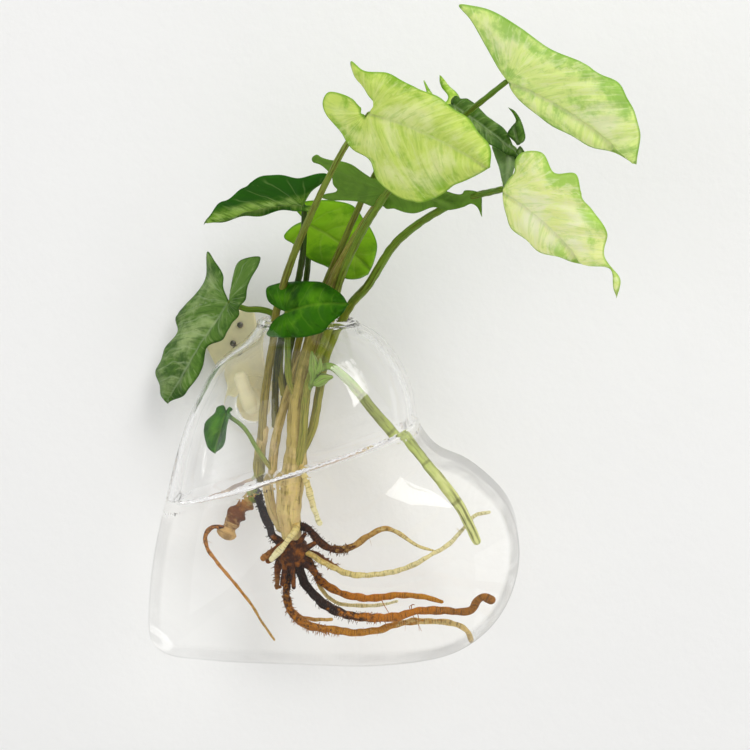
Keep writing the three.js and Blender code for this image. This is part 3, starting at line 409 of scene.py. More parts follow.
class LeafSettings(bpy.types.PropertyGroup):
    """The leaf blades."""

    thickness: length_property(
        "Thickness", "Thickness of a blade away from its rib", 0.0004, 0.0002, 0.001)
    quilting: length_property(
        "Quilting", "How far the blade swells between two side veins", 0.00045, 0, 0.002)
    lime: colour_property("Young leaf", "Main colour of the young upper leaves", "cbde6e")
    pale: colour_property("Young leaf, pale", "Pale middle of the young leaves", "e2eca0")
    patch: colour_property("Young leaf, patches", "Green patches on the young leaves", "93b93c")
    green: colour_property("Older leaf", "Main colour of the older leaves", "326a03")
    shade: colour_property("Older leaf, dark", "Dark parts of the older leaves", "1b4502")
    silver: colour_property("Grey leaf", "Silvery parts of the grey-green leaves", "b4c49c")


class StemSettings(bpy.types.PropertyGroup):
    """The stems and leaf stalks."""

    tan: colour_property("Old stem", "Colour of the old stems near the water", "c9ac78")


class RootSettings(bpy.types.PropertyGroup):
    """The crown and the roots."""

    brown: colour_property("Crown", "Colour of the crown between the roots", "3a1e10")
    knobs: number_property(
        "Knobs", "How uneven the roots are, as a share of their thickness", 0.16, 0, 0.5, "FACTOR")


class StageSettings(bpy.types.PropertyGroup):
    """The wall, floor and light round the object."""

    wall: colour_property("Wall", "Colour of the painted wall", "f6f6f5")
    window: number_property("Window light", "Power of the soft light from the right", 11, 0, 100, "POWER")
    mirrored_room: number_property(
        "Mirrored room", "How bright the room looks where the glass mirrors it", 0.6, 0, 1, "FACTOR")
    room: number_property("Room light", "Strength of the even light from all round", 0.54, 0, 3)


class VaseSettings(bpy.types.PropertyGroup):
    """Everything that can be changed on the vase and plant."""

    glass: bpy.props.PointerProperty(type=GlassSettings)
    water: bpy.props.PointerProperty(type=WaterSettings)
    hook: bpy.props.PointerProperty(type=HookSettings)
    leaf: bpy.props.PointerProperty(type=LeafSettings)
    stem: bpy.props.PointerProperty(type=StemSettings)
    root: bpy.props.PointerProperty(type=RootSettings)
    stage: bpy.props.PointerProperty(type=StageSettings)


# Places and directions
def hang_direction(vectors):
    """Directions [across, out, up] on the vase as directions in the frame."""
    across, out, up = np.moveaxis(np.asarray(vectors, float), -1, 0)
    cos, sin = math.cos(VASE_TURN), math.sin(VASE_TURN)
    return np.stack([across * cos + up * sin, -out, up * cos - across * sin], axis=-1)


def hang(points):
    """Places [across, out, up] in millimetres on the vase as places in the frame, in metres."""
    return (hang_direction(points) - (0, STAND_OFF, SEAT_DROP)) * MM


def unit(vectors):
    size = np.linalg.norm(vectors, axis=-1, keepdims=True)
    return vectors / np.maximum(size, 1e-12)


def curve_through(points, closed=False, per_span=12):
    """A smooth line through points, dense enough to measure along."""
    knots = np.asarray(points, float)
    if closed:
        knots = np.vstack([knots[-1:], knots, knots[:2]])
    else:
        knots = np.vstack([2 * knots[0] - knots[1], knots, 2 * knots[-1] - knots[-2]])
    t = np.linspace(0, 1, per_span, endpoint=False)[:, None]
    spans = []
    for a, b, c, d in zip(knots, knots[1:], knots[2:], knots[3:]):
        before, here, after = (math.sqrt(np.linalg.norm(q)) for q in (b - a, c - b, d - c))
        leave = ((b - a) / before - (c - a) / (before + here)) * here + (c - b)
        arrive = (c - b) + ((d - c) / after - (d - b) / (here + after)) * here
        spans.append((2 * t ** 3 - 3 * t ** 2 + 1) * b + (t ** 3 - 2 * t ** 2 + t) * leave
                     + (3 * t ** 2 - 2 * t ** 3) * c + (t ** 3 - t ** 2) * arrive)
    line = np.vstack(spans)
    return line if closed else np.vstack([line, knots[-2]])


def even_steps(line, step):
    """The same open line with its points a step apart."""
    reach = np.concatenate([[0], np.cumsum(np.linalg.norm(np.diff(line, axis=0), axis=1))])
    marks = np.linspace(0, reach[-1], max(4, round(reach[-1] / step) + 1))
    return np.stack([np.interp(marks, reach, column) for column in line.T], axis=1)


# Meshes and pieces
def make_mesh(name, points, faces, values=None, normals=None):
    mesh = bpy.data.meshes.new(name)
    mesh.from_pydata(points.tolist(), [], faces)
    mesh.validate()
    mesh.polygons.foreach_set("use_smooth", [True] * len(mesh.polygons))
    for key, data in (values or {}).items():
        vector = data.ndim == 2
        attribute = mesh.attributes.new(key, "FLOAT_VECTOR" if vector else "FLOAT", "POINT")
        attribute.data.foreach_set("vector" if vector else "value", data.astype(np.float32).ravel())
    if normals is not None:
        mesh.normals_split_custom_set_from_vertices(normals.tolist())
    return mesh


def link_object(name, data):
    thing = bpy.data.objects.new(name, data)
    bpy.context.scene.collection.objects.link(thing)
    return thing


def add_piece(node, mesh, *materials):
    """Puts a finished mesh in the place of a CAD node, on the same body and with the given finishes, and
    hides the node.
    """
    piece = link_object(node + "_shape", mesh)
    for material in materials:
        mesh.materials.append(material)
    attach(piece, frame["nodes"][node]["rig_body"])
    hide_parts(node)


def joined(parts):
    """Several (points, faces, values) as one."""
    points, faces, shift = [], [], 0
    for part in parts:
        points.append(part[0])
        faces += [tuple(k + shift for k in face) for face in part[1]]
        shift += len(part[0])
    values = {key: np.concatenate([part[2][key] for part in parts]) for key in parts[0][2]}
    return np.vstack(points), faces, values


# Surfaces from a field that is negative inside and about as large as the gap to the surface
def smooth_min(a, b, width):
    near = np.maximum(width - np.abs(a - b), 0) / width
    return np.minimum(a, b) - near * near * width / 4


def smooth_max(a, b, width):
    return -smooth_min(-a, -b, width)


def smooth_step(value, low, high):
    share = np.clip((value - low) / (high - low), 0, 1)
    return share * share * (3 - 2 * share)


def rounded_corner(a, b, radius):
    """Where two gaps meet in an outside corner of the given radius."""
    a, b = a + radius, b + radius
    return np.minimum(np.maximum(a, b), 0) + np.hypot(np.maximum(a, 0), np.maximum(b, 0)) - radius


SLOPE_STEP = 0.06
SKIN_ROUNDS = 3


def field_slope(field, points):
    return np.stack([(field(points + shift) - field(points - shift)) / (2 * SLOPE_STEP)
                     for shift in np.eye(3) * SLOPE_STEP], axis=-1)


def skin(field, low, high, cell):
    """Points, quads and outward directions of the surface where a field is zero."""
    axes = [np.arange(a, b + cell, cell) for a, b in zip(low, high)]
    value = field(np.stack(np.meshgrid(*axes, indexing="ij"), axis=-1))
    inside = value < 0
    cells = tuple(n - 1 for n in value.shape)
    total, count, crossings = np.zeros(cells + (3,)), np.zeros(cells), []
    for k in range(3):
        near, far = (j for j in range(3) if j != k)
        ahead = np.moveaxis(value, k, 0)
        crossed = np.diff(ahead < 0, axis=0)
        share = np.where(crossed, ahead[:-1] / np.where(crossed, ahead[:-1] - ahead[1:], 1), 0)
        sums, counts = np.moveaxis(total, k, 0), np.moveaxis(count, k, 0)
        for p in (0, 1):
            for q in (0, 1):
                part = (slice(None), slice(p, cells[near] + p), slice(q, cells[far] + q))
                sums[..., k] += share[part]
                sums[..., near] += p * crossed[part]
                sums[..., far] += q * crossed[part]
                counts += crossed[part]
        crossings.append(np.moveaxis(crossed, 0, k))
    used = np.argwhere(count > 0)
    index = np.full(cells, -1)
    index[tuple(used.T)] = np.arange(len(used))
    middle = total[tuple(used.T)] / count[tuple(used.T)][:, None]
    points = np.array(low) + (used + middle) * cell
    quads = []
    for k in range(3):
        one, two = (k + 1) % 3, (k + 2) % 3
        spots = np.argwhere(crossings[k])
        spots = spots[(spots[:, one] > 0) & (spots[:, two] > 0)
                      & (spots[:, one] < cells[one]) & (spots[:, two] < cells[two])]
        corners = []
        for p, q in ((1, 1), (0, 1), (0, 0), (1, 0)):
            corner = spots.copy()
            corner[:, one] -= p
            corner[:, two] -= q
            corners.append(index[tuple(corner.T)])
        quad = np.stack(corners, axis=1)
        quads.append(np.where(inside[tuple(spots.T)][:, None], quad, quad[:, ::-1]))
    for _ in range(SKIN_ROUNDS):
        slope = field_slope(field, points)
        steep = np.maximum((slope ** 2).sum(axis=1), 0.05)
        move = slope * (field(points) / steep)[:, None]
        far = np.linalg.norm(move, axis=1, keepdims=True)
        points = points - move * np.minimum(1, cell / np.maximum(far, 1e-9))
    return points, np.vstack(quads), unit(field_slope(field, points))


def hung_skin(name, field, low, high, cell, marks=None):
    """A field surface written in vase places, as a mesh in the frame, with values marked on it."""
    points, quads, normals = skin(field, low, high, cell)
    values = {key: mark(points) for key, mark in (marks or {}).items()}
    return make_mesh(name, hang(points), quads[:, ::-1].tolist(), values, hang_direction(normals))


# The vase
def heart_reach():
    """Distance from the heart's middle to its outline in even directions, and how it changes."""
    line = curve_through(HEART_OUTLINE, closed=True, per_span=40) - HEART_MIDDLE
    angle = np.arctan2(line[:, 1], line[:, 0])
    order = np.argsort(angle)
    even = np.linspace(-math.pi, math.pi, HEART_DIRECTIONS, endpoint=False)
    reach = np.interp(even, angle[order], np.hypot(*line.T)[order], period=2 * math.pi)
    waves = np.fft.rfft(reach)
    waves *= np.exp(-(np.arange(len(waves)) / HEART_SMOOTHNESS) ** 4)
    reach = np.fft.irfft(waves, HEART_DIRECTIONS)
    slope = (np.roll(reach, -1) - np.roll(reach, 1)) * HEART_DIRECTIONS / (4 * math.pi)
    return even, reach, slope


HEART = heart_reach()


def body_gap(points):
    across, out, up = np.moveaxis(points, -1, 0)
    aside, above = across - HEART_MIDDLE[0], up - HEART_MIDDLE[1]
    angle = np.arctan2(above, aside)
    edge = np.interp(angle, HEART[0], HEART[1], period=2 * math.pi)
    slope = np.interp(angle, HEART[0], HEART[2], period=2 * math.pi)
    dome = FULL_DEPTH - WIDEST_DEPTH
    level = np.maximum(np.hypot(aside, above) / edge, 1e-6)
    rise = np.clip(out - WIDEST_DEPTH, 0, None) / dome
    size = (level ** DOME_ROUNDNESS + rise ** DOME_ROUNDNESS) ** (1 / DOME_ROUNDNESS)
    power = DOME_ROUNDNESS - 1
    steep = np.hypot((level / size) ** power * np.sqrt(1 + (slope / edge) ** 2) / edge,
                     (rise / size) ** power / dome)
    return rounded_corner((size - 1) / np.maximum(steep, 0.004), -out, BACK_FILLET)


def ellipse_gap(across, out, half_width, half_depth):
    x, y = across - MOUTH_MIDDLE[0], out - MOUTH_MIDDLE[1]
    level = np.maximum(np.hypot(x / half_width, y / half_depth), 1e-6)
    steep = np.hypot(x / half_width ** 2, y / half_depth ** 2) / level
    return (level - 1) / np.maximum(steep, 0.01)


def neck_gap(points):
    across, out, up = np.moveaxis(points, -1, 0)
    spread = smooth_step(-up, -NECK_TOP, -NECK_FOOT)
    gap = ellipse_gap(across, out, MOUTH_HALF[0] + NECK_SPREAD[0] * spread,
                      MOUTH_HALF[1] + NECK_SPREAD[1] * spread)
    return np.maximum(gap, NECK_FOOT - up)


def outer_gap(points):
    """Gap to the outside of the glass, as if the vase were solid and the neck had no top."""
    outer = smooth_min(body_gap(points), neck_gap(points), SHOULDER_BLEND)
    return np.maximum(outer, -points[..., 1])


def wall_at(points):
    """Thickness of the glass, which blowing leaves thinner in the upper part of the heart."""
    return WALL + (UPPER_WALL - WALL) * smooth_step(points[..., 2], *WALL_THINS)


def glass_gap(points):
    across, out, up = np.moveaxis(points, -1, 0)
    half_wall = wall_at(points) / 2
    shell = np.abs(outer_gap(points) + half_wall) - half_wall
    rim = NECK_TOP - LIP_RADIUS
    shell = np.maximum(shell, up - rim)
    lip = np.hypot(ellipse_gap(across, out, *MOUTH_HALF) + UPPER_WALL / 2, up - rim) - LIP_RADIUS
    glass = smooth_min(shell, lip, LIP_BLEND)
    from_hole = np.hypot(across, up)
    bead = np.hypot(from_hole - HOLE_RADIUS - HOLE_BEAD_RADIUS, out - HOLE_BEAD_OUT) - HOLE_BEAD_RADIUS
    glass = smooth_min(glass, bead, BEAD_BLEND)
    bore = np.maximum(from_hole - HOLE_RADIUS, out - 2 * HOLE_BEAD_RADIUS - WALL)
    return smooth_max(np.maximum(glass, -out), -bore, BORE_BLEND)


def above_water(points, settings):
    across, _, up = np.moveaxis(points, -1, 0)
    return (up * math.cos(VASE_TURN) - across * math.sin(VASE_TURN) - SEAT_DROP
            + settings.below_peg / MM)


def water_gap(points, settings):
    inside = outer_gap(points) + wall_at(points)
    front = smooth_step(points[..., 1], *MENISCUS_FRONT)
    climb = front * settings.climb / MM * np.exp(-np.maximum(-inside, 0) / MENISCUS_WIDTH)
    bend = WATER_BEND_BACK + (WATER_BEND - WATER_BEND_BACK) * front
    return smooth_max(inside - WATER_IN_GLASS, above_water(points, settings) - climb, bend)


def wet_glass(points, settings):
    """1 on the inner skin of the glass below the water, where the glass borders on water."""
    inner = outer_gap(points) + wall_at(points) / 2 < 0
    return (inner & (above_water(points, settings) < -BELOW_MENISCUS)).astype(float)


def painted_glass_shade(points, settings):
    """Up to 1 on the outer skin of the glass below the water, where painted shade makes the wall look
    thick and grey, with less of it towards the left.
    """
    outer = outer_gap(points) + wall_at(points) / 2 > 0
    share = GLASS_SHADE_AT_LEFT + (1 - GLASS_SHADE_AT_LEFT) * smooth_step(points[..., 0], *GLASS_SHADE_FROM_LEFT)
    return outer * share * smooth_step(-above_water(points, settings), 0, GLASS_SHADE_FADE)


def wet_side(points, settings):
    """1 on the skin of the water where it lies against the glass."""
    side = outer_gap(points) + wall_at(points) > -WATER_IN_GLASS
    return (side & (above_water(points, settings) < -BELOW_MENISCUS)).astype(float)


def wet_faces(mesh):
    """Gives a mesh's second material to its wet faces."""
    wet = np.empty(len(mesh.vertices))
    mesh.attributes["wet"].data.foreach_get("value", wet)
    corner = np.empty(len(mesh.loops), int)
    mesh.loops.foreach_get("vertex_index", corner)
    first = np.empty(len(mesh.polygons), int)
    mesh.polygons.foreach_get("loop_start", first)
    mesh.polygons.foreach_set("material_index", (wet[corner[first]] > 0.5).astype(int))


# The hook
def hook_gap(points):
    x, y, z = np.moveaxis(points, -1, 0)
    out = -y
    lean = (PLATE_TOP_HALF - PLATE_FOOT_HALF) / (PLATE_TOP - PLATE_FOOT)
    half = PLATE_FOOT_HALF + lean * (z - PLATE_FOOT)
    middle, tall = (PLATE_TOP + PLATE_FOOT) / 2, (PLATE_TOP - PLATE_FOOT) / 2
    side = (np.abs(x) - half) / math.hypot(1, lean)
    face = rounded_corner(side, np.abs(z - middle) - tall, PLATE_CORNER)
    plate = smooth_max(face, np.abs(out - PLATE_THICKNESS / 2) - PLATE_THICKNESS / 2, PLATE_EDGE)
    below = z - np.clip(z, -PEG_DEPTH, 0)
    reach = TONGUE_BACK + TONGUE_THICKNESS
    peg = smooth_max(np.hypot(x, below) - PEG_RADIUS, np.maximum(out - reach + 0.5, 0.5 - out), PEG_EDGE)
    tongue_middle = TONGUE_BACK + TONGUE_THICKNESS / 2
    low, high = -PEG_DEPTH, TONGUE_RISE
    shape = np.hypot(np.maximum(np.abs(x) - TONGUE_FLAT, 0), out - tongue_middle) - TONGUE_THICKNESS / 2
    tongue = smooth_max(shape, np.abs(z - (low + high) / 2) - (high - low) / 2, TONGUE_EDGE)
    hook = smooth_min(smooth_min(plate, peg, PEG_ROOT), tongue, TONGUE_ROOT)
    hook = np.maximum(hook, -out)
    for px, pz in PIN_PLACES:
        hook = smooth_max(hook, PIN_BORE - np.hypot(x - px, z - pz), PIN_EDGE)
    return hook


def round_faces(rings, sides):
    """Faces of rings of points one after another, closed by two end points that come last."""
    faces = []
    top, pairs = (rings - 1) * sides, [(k, (k + 1) % sides) for k in range(sides)]
    for i in range(0, top, sides):
        faces += [(i + k, i + n, i + sides + n, i + sides + k) for k, n in pairs]
    for k, n in pairs:
        faces += [(top + sides, n, k), (top + sides + 1, top + k, top + n)]
    return faces


def around(sides):
    """The angles of even sides all round."""
    return np.arange(sides) / sides * 2 * math.pi


def pin_mesh(name, x, z):
    angle = around(PIN_SIDES)
    rings = [np.stack([x + radius * np.cos(angle), np.full(PIN_SIDES, -PLATE_THICKNESS - out),
                       z + radius * np.sin(angle)], axis=1) for radius, out in PIN_PROFILE[1:-1]]
    ends = [(x, -PLATE_THICKNESS - out, z) for _, out in (PIN_PROFILE[0], PIN_PROFILE[-1])]
    return make_mesh(name, np.vstack([*rings, ends]) * MM, round_faces(len(rings), PIN_SIDES))


# Stalks and roots
CAP_ANGLES = (15, 40, 65)
KNOB_WAVES = 9
KNOB_PACE = (250, 1500)
RIB_COUNTS = (1, 3, 5, 8)
STEM_SIDES = 28
STEM_STEP = 0.7
STEM_KNOBS = 0.04
STEM_RIBS = 0.05
BUD_SIDES = 24
BUD_STEP = 0.35
BUD_KNOBS = 0.05
BUD_RIBS = 0.04
BUD_COLOUR_SHARE = 0.15
ROOT_SIDES = 16
ROOT_STEP = 0.4
ROOTLET_SIDES = 5
ROOTLET_POINTS = 9
ROOTLET_BEND = 0.12
# Along a root: fine hairs and thick tufts to each millimetre, and millimetres to each stray hair
HAIRS = 3
TUFTS = 2.2
STRAY_HAIR_SPACING = 12


def tube(line, radii, sides, knobs=0.0, chance=None, ribs=0.0):
    """A round shape along an even line in the frame, with rounded ends and an uneven, ribbed skin."""
    ahead = unit(np.gradient(line, axis=0))
    side = np.cross(ahead[0], (0.3, 0.9, 0.2))
    sideways = []
    for direction in ahead:
        side = unit(side - direction * (side @ direction))
        sideways.append(side)
    share = np.linspace(0, 1, len(line))
    radius = np.interp(share, np.linspace(0, 1, len(radii)), radii)
    cap = np.radians(CAP_ANGLES)
    centres = np.vstack([
        line[0] - ahead[0] * (radius[0] * np.cos(cap))[:, None], line,
        line[-1] + ahead[-1] * (radius[-1] * np.cos(cap[::-1]))[:, None]])
    wide = np.concatenate([radius[0] * np.sin(cap), radius, radius[-1] * np.sin(cap[::-1])])
    ends = (len(cap), len(cap))
    upwards = np.cross(ahead, sideways)
    u, v = (np.pad(way, (ends, (0, 0)), mode="edge")[:, None] for way in (sideways, upwards))
    along = np.pad(share, ends, mode="edge")
    length = np.linalg.norm(np.diff(line, axis=0), axis=1).sum()
    angle = around(sides)
    swell = np.ones((len(centres), sides))
    if knobs:
        for _ in range(KNOB_WAVES):
            wave = length * chance.uniform(*KNOB_PACE)
            swell += (knobs / 3) * np.sin(
                wave * along[:, None] + chance.integers(0, 4) * angle[None] + chance.uniform(0, 6.3))
    if ribs:
        turn = chance.uniform(0, 6.3) + along[:, None] * chance.uniform(-1.5, 1.5)
        for count in RIB_COUNTS:
            swell += ribs / count ** 0.5 * np.cos(count * (angle[None] + turn))
    ring = u * np.cos(angle)[:, None] + v * np.sin(angle)[:, None]
    points = centres[:, None] + ring * (wide[:, None] * swell)[..., None]
    points = np.vstack([
        points.reshape(-1, 3), line[0] - ahead[0] * radius[0], line[-1] + ahead[-1] * radius[-1]])
    rise = np.concatenate([np.repeat(along, sides), (0, 1)])
    turns = np.pad(np.tile((np.cos(angle), np.sin(angle)), len(centres)), ((0, 0), (0, 2)))
    grain = np.stack([*turns, rise * length / MM], axis=1)
    return points, round_faces(len(centres), sides), {"rise": rise, "grain": grain}


def even_route(route, step):
    return even_steps(curve_through(hang(route)), step * MM)


def stem_mesh(name, route, radii):
    chance = np.random.default_rng(sum(map(ord, name)))
    line, radii = even_route(route, STEM_STEP), np.array(radii) * MM
    return make_mesh(name, *tube(line, radii, STEM_SIDES, STEM_KNOBS, chance, STEM_RIBS))


def bud_mesh(name):
    chance = np.random.default_rng(5)
    points, faces, values = joined([
        tube(even_route(route, BUD_STEP), np.array(radii) * MM, BUD_SIDES, BUD_KNOBS, chance, BUD_RIBS)
        for route, radii in BUD_SCALES])
    values["rise"] *= BUD_COLOUR_SHARE
    return make_mesh(name, points, faces, values)


# How many rootlets hang from a root, and over which share of its length a kind of root is hairy
ROOTLETS = {"root_dark_long": 6, "root_orange_middle": 3}
FUZZY = {"black": 1.0, "brown": 1.0, "cream": 1.0, "brown_to_straw": 0.4, "black_to_orange": 0.5,
         "brown_to_orange": 0.45, "orange": 0.25}


def thread(start, out, length, droop, radius, chance, share):
    """A fine rootlet or hair, with its colour taken from a share of its root's length."""
    steps = np.linspace(0, 1, ROOTLET_POINTS)[:, None]
    bend = unit(np.cross(out, chance.normal(size=3))) * np.sin(steps * 4) * length * ROOTLET_BEND
    line = start + out * steps * length + np.array((0, 0, -droop)) * steps ** 2 * length + bend
    part = tube(line, radius * np.array((1, 0.6, 0.3)), ROOTLET_SIDES)
    part[2]["rise"][:] = share
    return part


def root_mesh(name, route, radii, kind, settings):
    chance = np.random.default_rng(sum(map(ord, name)) * 7)
    line = even_route(route, ROOT_STEP)
    knobs = settings.knobs * (1.5 if kind in ("cream", "black") else 1)
    parts = [tube(line, np.array(radii) * MM, ROOT_SIDES, knobs, chance)]
    ahead = unit(np.gradient(line, axis=0))
    length = len(line) * ROOT_STEP

    def sprout(share, size, droop, radius, down=0.0):
        spot = int(share * (len(line) - 1))
        out = unit(np.cross(ahead[spot], chance.normal(size=3)) - np.array((0, 0, down)))
        parts.append(thread(line[spot], out, size * MM, droop, radius * MM, chance, share))

    for _ in range(ROOTLETS.get(name, 0)):
        sprout(chance.uniform(0.45, 0.66), chance.uniform(4, 7), 0.6, 0.2, 0.5)
    if kind in FUZZY:
        for _ in range(int(length * HAIRS)):
            sprout(chance.uniform(0, 1) ** 1.3 * FUZZY[kind], chance.uniform(1.4, 2.5), 0.2, 0.2)
        for _ in range(int(length * FUZZY[kind] * TUFTS)):
            sprout(chance.uniform(0, 1) ** 1.5 * FUZZY[kind], chance.uniform(1.1, 1.9), 0.1,
                   chance.uniform(0.35, 0.7))
    for _ in range(int(length / STRAY_HAIR_SPACING)):
        sprout(chance.uniform(0.1, 0.95), chance.uniform(1.4, 3), 0.3, 0.08)
    return make_mesh(name, *joined(parts))


def crown_gap(points):
    gap = np.linalg.norm((points - CROWN_MIDDLE) / CROWN_RADII, axis=-1)
    gap = (gap - 1) * min(CROWN_RADII)
    chance = np.random.default_rng(46)
    for _ in range(CROWN_KNOBS):
        out = unit(chance.normal(size=3))
        spot = np.array(CROWN_MIDDLE) + out * CROWN_RADII * CROWN_KNOB_PLACE
        knob = np.linalg.norm(points - spot, axis=-1) - chance.uniform(*CROWN_KNOB_RADII)
        gap = smooth_min(gap, knob, CROWN_KNOB_BLEND)
    wide, narrowing = CROWN_STUB_TAPER
    for start, end, radius in CROWN_STUBS:
        run = np.subtract(end, start)
        from_start = points - CROWN_MIDDLE - start
        share = np.clip(from_start @ run / (run @ run), 0, 1)
        stub = np.linalg.norm(from_start - share[..., None] * run, axis=-1)
        gap = smooth_min(gap, stub - radius * (wide - narrowing * share), CROWN_STUB_BLEND)
    return gap


# Leaves
MARGIN_STEP = 0.55


def leaf_outline(leaf):
    foot, *_, tip = leaf["left"]
    left, right = (even_steps(curve_through(margin), MARGIN_STEP)
                   for margin in (leaf["left"], (foot, *leaf["right"], tip)))
    return np.vstack([left, right[-2:0:-1]])


def outline_gap(points, outline):
    """Distance from each point to the nearest stretch of a closed outline."""
    start = outline
    run = np.roll(outline, -1, axis=0) - start
    from_start = points[:, None] - start[None]
    share = np.clip((from_start * run).sum(-1) / np.maximum((run ** 2).sum(-1), 1e-9), 0, 1)
    return np.linalg.norm(from_start - share[..., None] * run, axis=-1).min(axis=1)


def within(points, outline):
    x, y = points.T
    inside = np.zeros(len(points), bool)
    for (x0, y0), (x1, y1) in zip(outline, np.roll(outline, -1, axis=0)):
        if y0 != y1:
            inside ^= ((y0 > y) != (y1 > y)) & (x < (x1 - x0) * (y - y0) / (y1 - y0) + x0)
    return inside


VEIN_SPACING = 6.8
VEIN_SWEEP = 0.55
VEIN_CURL = 0.022
LOBE_FAN = math.radians(26)
LEAF_GRID = 0.85
# Spacing of the grid's rows, and room it leaves at the margin and the rib, as shares of its step
GRID_ROWS = 0.866
GRID_ROOM_AT_MARGIN = 0.5
GRID_ROOM_AT_RIB = 0.45
RIB_END_ROOM = 0.2
USUAL_WAVE = 0.7
WAVE_START = 0.8
WAVE_RISE = 4
FURROW_DEPTH = 0.08
FURROW_WIDTH = 0.9
MARGIN_THINS = 0.9
MARGIN_SHARE = 0.35
RIDGE_HEIGHT = 0.55
RIDGE_WIDTH = 0.55
RIDGE_START = -0.5


def blade_grid(outline, length):
    """Flat points and triangles that fill a leaf's outline, with a row of points along its rib."""
    low, high = outline.min(axis=0), outline.max(axis=0)
    columns = np.arange(low[0], high[0], LEAF_GRID)
    rows = np.arange(low[1], high[1], LEAF_GRID * GRID_ROWS)
    field = np.array([(x + (j % 2) * LEAF_GRID / 2, y) for j, y in enumerate(rows) for x in columns])
    field = field[within(field, outline)]
    field = field[outline_gap(field, outline) > LEAF_GRID * GRID_ROOM_AT_MARGIN]
    field = field[(np.abs(field[:, 1]) > LEAF_GRID * GRID_ROOM_AT_RIB) | (field[:, 0] < 0)]
    rib = np.stack([np.arange(LEAF_GRID, length - LEAF_GRID, LEAF_GRID)] * 2, axis=1) * (1, 0)
    rib = rib[within(rib, outline) & (outline_gap(rib, outline) > RIB_END_ROOM)]
    count = len(outline)
    places = [Vector(place) for place in np.vstack([outline, rib, field])]
    made = delaunay_2d_cdt(places, [(k, (k + 1) % count) for k in range(count)], [], 1, 1e-5)
    flat, triangles = (np.array([tuple(row) for row in made[k]]) for k in (0, 2))
    used = np.unique(triangles)
    order = np.full(len(flat), -1)
    order[used] = np.arange(len(used))
    return flat[used], order[triangles]


def vein_phase(along, aside):
    """Whole on each side vein, and fanned out over the lobes behind the base."""
    start = along - VEIN_SWEEP * aside - VEIN_CURL * aside * aside
    behind = np.arctan2(aside, along) - math.atan2(1, VEIN_SWEEP)
    return np.where(start > 0, start / VEIN_SPACING, -behind / LOBE_FAN)


def blade_directions(leaf):
    """A leaf's directions along its rib, across it and out of its upper face."""
    along = unit(np.array(leaf["tip"], float) - leaf["base"])
    across = np.array(leaf["aside"], float)
    across = unit(across - along * (across @ along))
    along, across = hang_direction(along), hang_direction(across)
    face = np.cross(along, across)
    return along, across, -face if (face[1] > 0) != bool(leaf.get("underside_out")) else face


def two_skins(middle, triangles, face, above, below):
    """A sheet made thick: its upper points and then its lower ones, with faces all round."""
    corner = middle[triangles]
    turned = np.cross(corner[:, 1] - corner[:, 0], corner[:, 2] - corner[:, 0])
    if (turned @ face).sum() < 0:
        triangles, turned = triangles[:, ::-1], -turned
    normal = np.zeros_like(middle)
    for k in range(3):
        np.add.at(normal, triangles[:, k], turned)
    normal, n = unit(normal), len(middle)
    edges = {edge: True for a, b, c in triangles for edge in ((a, b), (b, c), (c, a))}
    faces = triangles.tolist() + (triangles[:, ::-1] + n).tolist()
    faces += [(b, a, a + n, b + n) for a, b in edges if (b, a) not in edges]
    return np.vstack([middle + normal * above[:, None], middle - normal * below[:, None]]), faces


def leaf_blade(leaf, settings):
    """A two-skinned blade with a rib, side veins, swollen fields between them and a waved margin."""
    outline = leaf_outline(leaf)
    length = float(outline[:, 0].max())
    flat, triangles = blade_grid(outline, length)
    x, y = flat.T
    aside, edge_gap = np.abs(y), outline_gap(flat, outline)
    rib_gap = np.hypot(np.clip(-x, 0, None), y)
    share = rib_gap / np.maximum(rib_gap + edge_gap, 1e-6)
    phase, inner = vein_phase(x, aside), np.sin(np.pi * share)
    swollen = settings.quilting / MM * (0.5 - 0.5 * np.cos(2 * np.pi * phase))
    wave = leaf.get("wave", USUAL_WAVE) * np.sin(np.pi * phase + WAVE_START) * share ** WAVE_RISE
    furrow = FURROW_DEPTH * np.exp(-(rib_gap / FURROW_WIDTH) ** 2)
    lift = leaf["cup"] * inner + swollen * inner + wave - furrow
    along, across, face = blade_directions(leaf)
    fold, arch = math.radians(leaf.get("fold", 0)), hang_direction(np.array(leaf["arch"], float))
    t = np.clip(x / length, -0.5, 1)
    middle = hang(leaf["base"]) + MM * (
        np.outer(x, along) + np.outer(y * math.cos(fold), across) + np.outer(aside * math.sin(fold), face)
        + np.outer(2 * t * (1 - t) * (1 - share), arch) + np.outer(lift, face))
    thins = MARGIN_SHARE + (1 - MARGIN_SHARE) * np.clip(edge_gap / MARGIN_THINS, 0, 1)
    half = settings.thickness / 2 * thins
    ridge = RIDGE_HEIGHT * MM * np.exp(-(rib_gap / RIDGE_WIDTH) ** 2)
    ridge = ridge * np.clip(1 - x / length, 0, 1) * (x > RIDGE_START)
    points, faces = two_skins(middle, triangles, face, half, half + ridge)
    values = {key: np.tile(value, 2) for key, value in (
        ("rib_gap", rib_gap), ("edge_gap", edge_gap), ("vein_phase", phase), ("aside", y))}
    return points, faces, values | {"underside": np.repeat((0.0, 1.0), len(flat))}


def leaf_mesh(name, leaf, settings):
    blades = [leaf] + [LEAF_FOLDS[fold] for fold in leaf.get("folds", ())]
    return make_mesh(name, *joined([leaf_blade(blade, settings) for blade in blades]))


